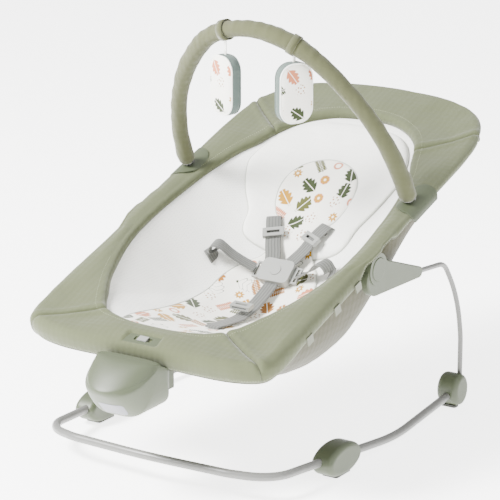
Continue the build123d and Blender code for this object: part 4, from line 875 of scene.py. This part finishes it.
def buildSleeve():
    line = [barPoint(u, v) for u, v in barLine(bar["start"])]
    rows = []
    for i, point in enumerate(line):
        tangent = (line[min(i + 1, len(line) - 1)] - line[max(i - 1, 0)]).normalized()
        away = barOutward.cross(tangent).normalized()
        near = min((point - line[0]).length, (point - line[-1]).length) / mm
        gather = (1 - (max(0, 12 - near) / 15) ** 2) ** 0.5
        ring = []
        for k in range(36):
            a = 2 * math.pi * k / 36
            spot = away * math.cos(a) + barOutward * math.sin(a)
            inside = max(0, math.cos(a - math.pi))
            crease = (wrinkle(point + spot * 0.02, 34, 0.8)
                      + inside * 0.5 * math.sin(i * 1.35 + 0.8 * math.sin(i * 0.31)))
            seamDip = 1.1 * math.exp(-((a - math.pi * 1.28) / 0.12) ** 2)
            radius = bar["radius"] * (1 + 0.05 * math.sin(i * 0.13 + 1)) * gather + crease - seamDip
            ring.append(point + spot * radius * mm)
        rows.append(ring)
    piece = capEnds(gridPiece("toyBarSleeve", rows, sleeveCloth, closeColumns=True))
    finishPiece(piece, "toy_bar", "sleeve_fabric", "toy_bar_sleeve")


buildSleeve()

# ---- moulded flaps that hold the toy bar's clips on the rim
# path holds the distance in from the rim's outer edge and the height; widens is the share of the path at
# which a flap reaches its full width
flap = {"s": 164, "half": 40.0, "outerX": 222, "widens": 0.62,
        "path": ((37, 15.5), (33, 19.0), (27, 21.0), (20, 21.8), (13, 21.4), (7, 19.6), (1.5, 15.5),
                 (-2.2, 9.0), (-3.4, 2.0))}
for side, name in ((1, "leftBarFlap"), (-1, "rightBarFlap")):
    rows = []
    for i in range(41):
        q = i / 40
        place = q * (len(flap["path"]) - 1)
        key = min(int(place), len(flap["path"]) - 2)
        u, n = curveAt(flap["path"], key, place - key, closed=False)
        reach = flap["half"]
        if q < flap["widens"]:
            reach *= (1 - max(1 - q / flap["widens"], 0.001) ** 2.2) ** 0.5
        reach = max(reach * (1 - 0.12 * ease(q, 0.8, 1)), 1)
        rows.append([seatPoint(side * (flap["outerX"] - u), flap["s"] + reach * (2 * k / 32 - 1), n)
                     for k in range(33)])
    piece = gridPiece(name, rows, greenPlastic)
    applyModifier(piece, "SOLIDIFY", thickness=0.0022, offset=0)
    closeUp(piece)
    applyModifier(piece, "BEVEL", width=0.0007, segments=2, limit_method="ANGLE")
    finishPiece(piece, "seat", "green_plastic", "left_bar_clip" if side > 0 else "right_bar_clip")
print("flaps")

# ---- vibration unit: a half-moon top over a steeper wall, both drawn in to the ends
unit = {"half": 54.0, "hub": (-338.0, 203.0), "panelX": (-17.0, 27.0), "panelT": (0.34, 0.9),
        "panelProud": 1.3}
# y, z and how full the shape stays towards its ends
unitSection = ((-337.5, 207.5, 3.0), (-350, 209.6, 3.0), (-363, 209.8, 2.4), (-376, 204.5, 2.1),
               (-390, 195.5, 2.0), (-403, 185, 2.0), (-411, 177.5, 2.0), (-413, 174, 2.0),
               (-412.6, 170.5, 2.2), (-409, 165.5, 2.6), (-397, 151.5, 3.0), (-384, 137.8, 3.4),
               (-375, 129.3, 3.5), (-370, 127.3, 3.5), (-362, 127, 3.5), (-335, 127, 3.4),
               (-305, 127, 3.4), (-298, 128.5, 3.4), (-296.7, 134, 3.4), (-296.5, 158, 3.4),
               (-296.7, 178, 3.4), (-299, 183, 3.4), (-315, 184.6, 3.4), (-335, 187, 3.4))


def unitPoint(x, y, z, full):
    share = (1 - min(abs(x) / unit["half"], 1) ** full) ** (1 / full)
    hubY, hubZ = unit["hub"]
    return Vector((x, hubY + (y - hubY) * share, hubZ + (z - hubZ) * share)) * mm


def unitWall(x, t, out):
    # place on the lower wall, t from its top edge to its bottom edge, and how far outside it
    a, b = unitSection[9], unitSection[12]
    y, z, full = (p + (q - p) * t for p, q in zip(a, b))
    return unitPoint(x, y - out * 0.7, z - out * 0.7, full)


def buildUnit():
    rows = []
    for i in range(65):
        x = -unit["half"] * math.cos(math.pi * i / 64)
        rows.append([unitPoint(x, *curveAt(unitSection, k, step / 4))
                     for k in range(len(unitSection)) for step in range(4)])
    shell = closeUp(gridPiece("unitShell", rows, greenPlastic, closeColumns=True), 0.02)
    finishPiece(shell, "seat", "green_plastic", "unit_housing", "unit_back")
    (x0, x1), (t0, t1) = unit["panelX"], unit["panelT"]
    rows = []
    for i in range(25):
        x = x0 + (x1 - x0) * i / 24
        corner = 0.12 * (1 - (1 - (abs(2 * i / 24 - 1)) ** 8) ** 0.5)
        low, high = t0 + corner, t1 - corner
        rows.append([unitWall(x, low + (high - low) * k / 14, unit["panelProud"]) for k in range(15)])
    panel = gridPiece("unitPanel", rows, panelPlastic)
    applyModifier(panel, "SOLIDIFY", thickness=0.003, offset=-1)
    closeUp(panel)
    applyModifier(panel, "BEVEL", width=0.0008, segments=2, limit_method="ANGLE")
    finishPiece(panel, "panel_button", "light_panel", "unit_button")


buildUnit()
print("unit")

# ---- lock springs (on the real thing they shorten as their buttons go in): each gets its own copy of its mesh
for name in ("left", "right"):
    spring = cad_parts[name + "_lock_spring"]
    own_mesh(spring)

# ---- hanging toys
toys = {"height": 90.0, "width": 54.0, "thick": 22.0, "round": 22.0, "sleeveRadius": 13.5, "loopInner": 14.6,
        "loop": 12.0, "loopThick": 2.5,
        # how far each face's edge lies inside the full thickness, and how far the face swells from it
        "edgeIn": 3, "puff": 4.5}


def roundedOutline(wide, tall, radius, steps=10):
    points = []
    for cx, cy, start in ((1, 1, 0), (-1, 1, 90), (-1, -1, 180), (1, -1, 270)):
        for k in range(steps + 1):
            a = math.radians(start + 90 * k / steps)
            points.append((cx * (wide / 2 - radius) + radius * math.cos(a),
                           cy * (tall / 2 - radius) + radius * math.sin(a)))
    return points


def buildToy(name, node, body, x, faceDeg, drop):
    hook = barTop(x) / mm
    top = hook.z - toys["sleeveRadius"] - toys["loopThick"] - drop
    middle = Vector((hook.x, hook.y, top - toys["height"] / 2))
    facing = math.radians(faceDeg)
    across = Vector((math.cos(facing), math.sin(facing), 0))
    normal = Vector((math.sin(facing), -math.cos(facing), 0))

    def place(u, v, w):
        return (middle + across * u + Vector((0, 0, v)) + normal * w) * mm

    outline = roundedOutline(toys["width"], toys["height"], toys["round"])
    half = toys["thick"] / 2
    edge = half - toys["edgeIn"]
    levels = [0.0, 0.2, 0.38, 0.54, 0.68, 0.79, 0.88, 0.94, 0.98, 1.0]
    faces = []
    for side, material, label in ((1, toyPrint, "Face"), (-1, heatherCloth, "Back")):
        rows = [[place(u * t, v * t, side * (edge + toys["puff"] * (1 - t ** 4) ** 0.6)) for t in levels]
                for u, v in outline]
        uvs = [[(u * t * mm, v * t * mm) for t in levels] for u, v in outline]
        faces.append(closeUp(gridPiece(name + label, rows, material, closeRows=True, uvs=uvs)))
    rows = []
    for u, v in outline:
        grow = 1 / math.hypot(u, v)
        rows.append([place(u * (1 + grow * bulge), v * (1 + grow * bulge), w) for w, bulge in
                     ((edge, 0.2), (half * 0.45, 1.5), (0, 1.9), (-half * 0.45, 1.5), (-edge, 0.2))])
    gusset = gridPiece(name + "Gusset", rows, heatherCloth, closeRows=True)
    pipes = [tubePiece(name + "Pipe" + label, [place(u * 1.004, v * 1.004, w) for u, v in outline], 0.0013,
                       material, closed=True, normals=[normal] * len(outline))
             for label, w, material in (("Front", edge, headCloth), ("Rear", -edge, heatherCloth))]
    toyBody = closeUp(joinPieces(gusset, *faces, *pipes))
    toyBody.name = name
    finishPiece(toyBody, body, "toy_fabric", node)
    # strap: a loop round the sleeve and a tab down to the toy
    tangent = (barTop(x + 1) - barTop(x)).normalized()
    away = barOutward.cross(tangent).normalized()
    low, high, w = toys["loopInner"], toys["loopInner"] + toys["loopThick"] * 0.7, toys["loop"] / 2
    ringRows = []
    for k in range(48):
        a = 2 * math.pi * k / 48
        spot = away * math.cos(a) + barOutward * math.sin(a)
        ringRows.append([(hook + spot * r + tangent * d) * mm
                         for r, d in ((low, -w), (low, w), (high, w), (high, -w))])
    loop = gridPiece(name + "Loop", ringRows, sleeveCloth, closeRows=True, closeColumns=True)
    tabRows = [[(Vector((hook.x, hook.y, top - 3 + (drop + 6) * k / 8)) + across * a + normal * b) * mm
                for a, b in ((-2.4, -0.7), (2.4, -0.7), (2.4, 0.7), (-2.4, 0.7))] for k in range(9)]
    tab = gridPiece(name + "Tab", tabRows, headCloth, closeColumns=True)
    strap = closeUp(joinPieces(loop, tab))
    strap.name = name + "Strap"
    finishPiece(strap, body, "toy_fabric")


buildToy("leftToy", "left_toy", "hanging_toy_left", x=72, faceDeg=61, drop=12)
buildToy("rightToy", "right_toy", "hanging_toy_right", x=-48, faceDeg=-20, drop=24)
print("toys")
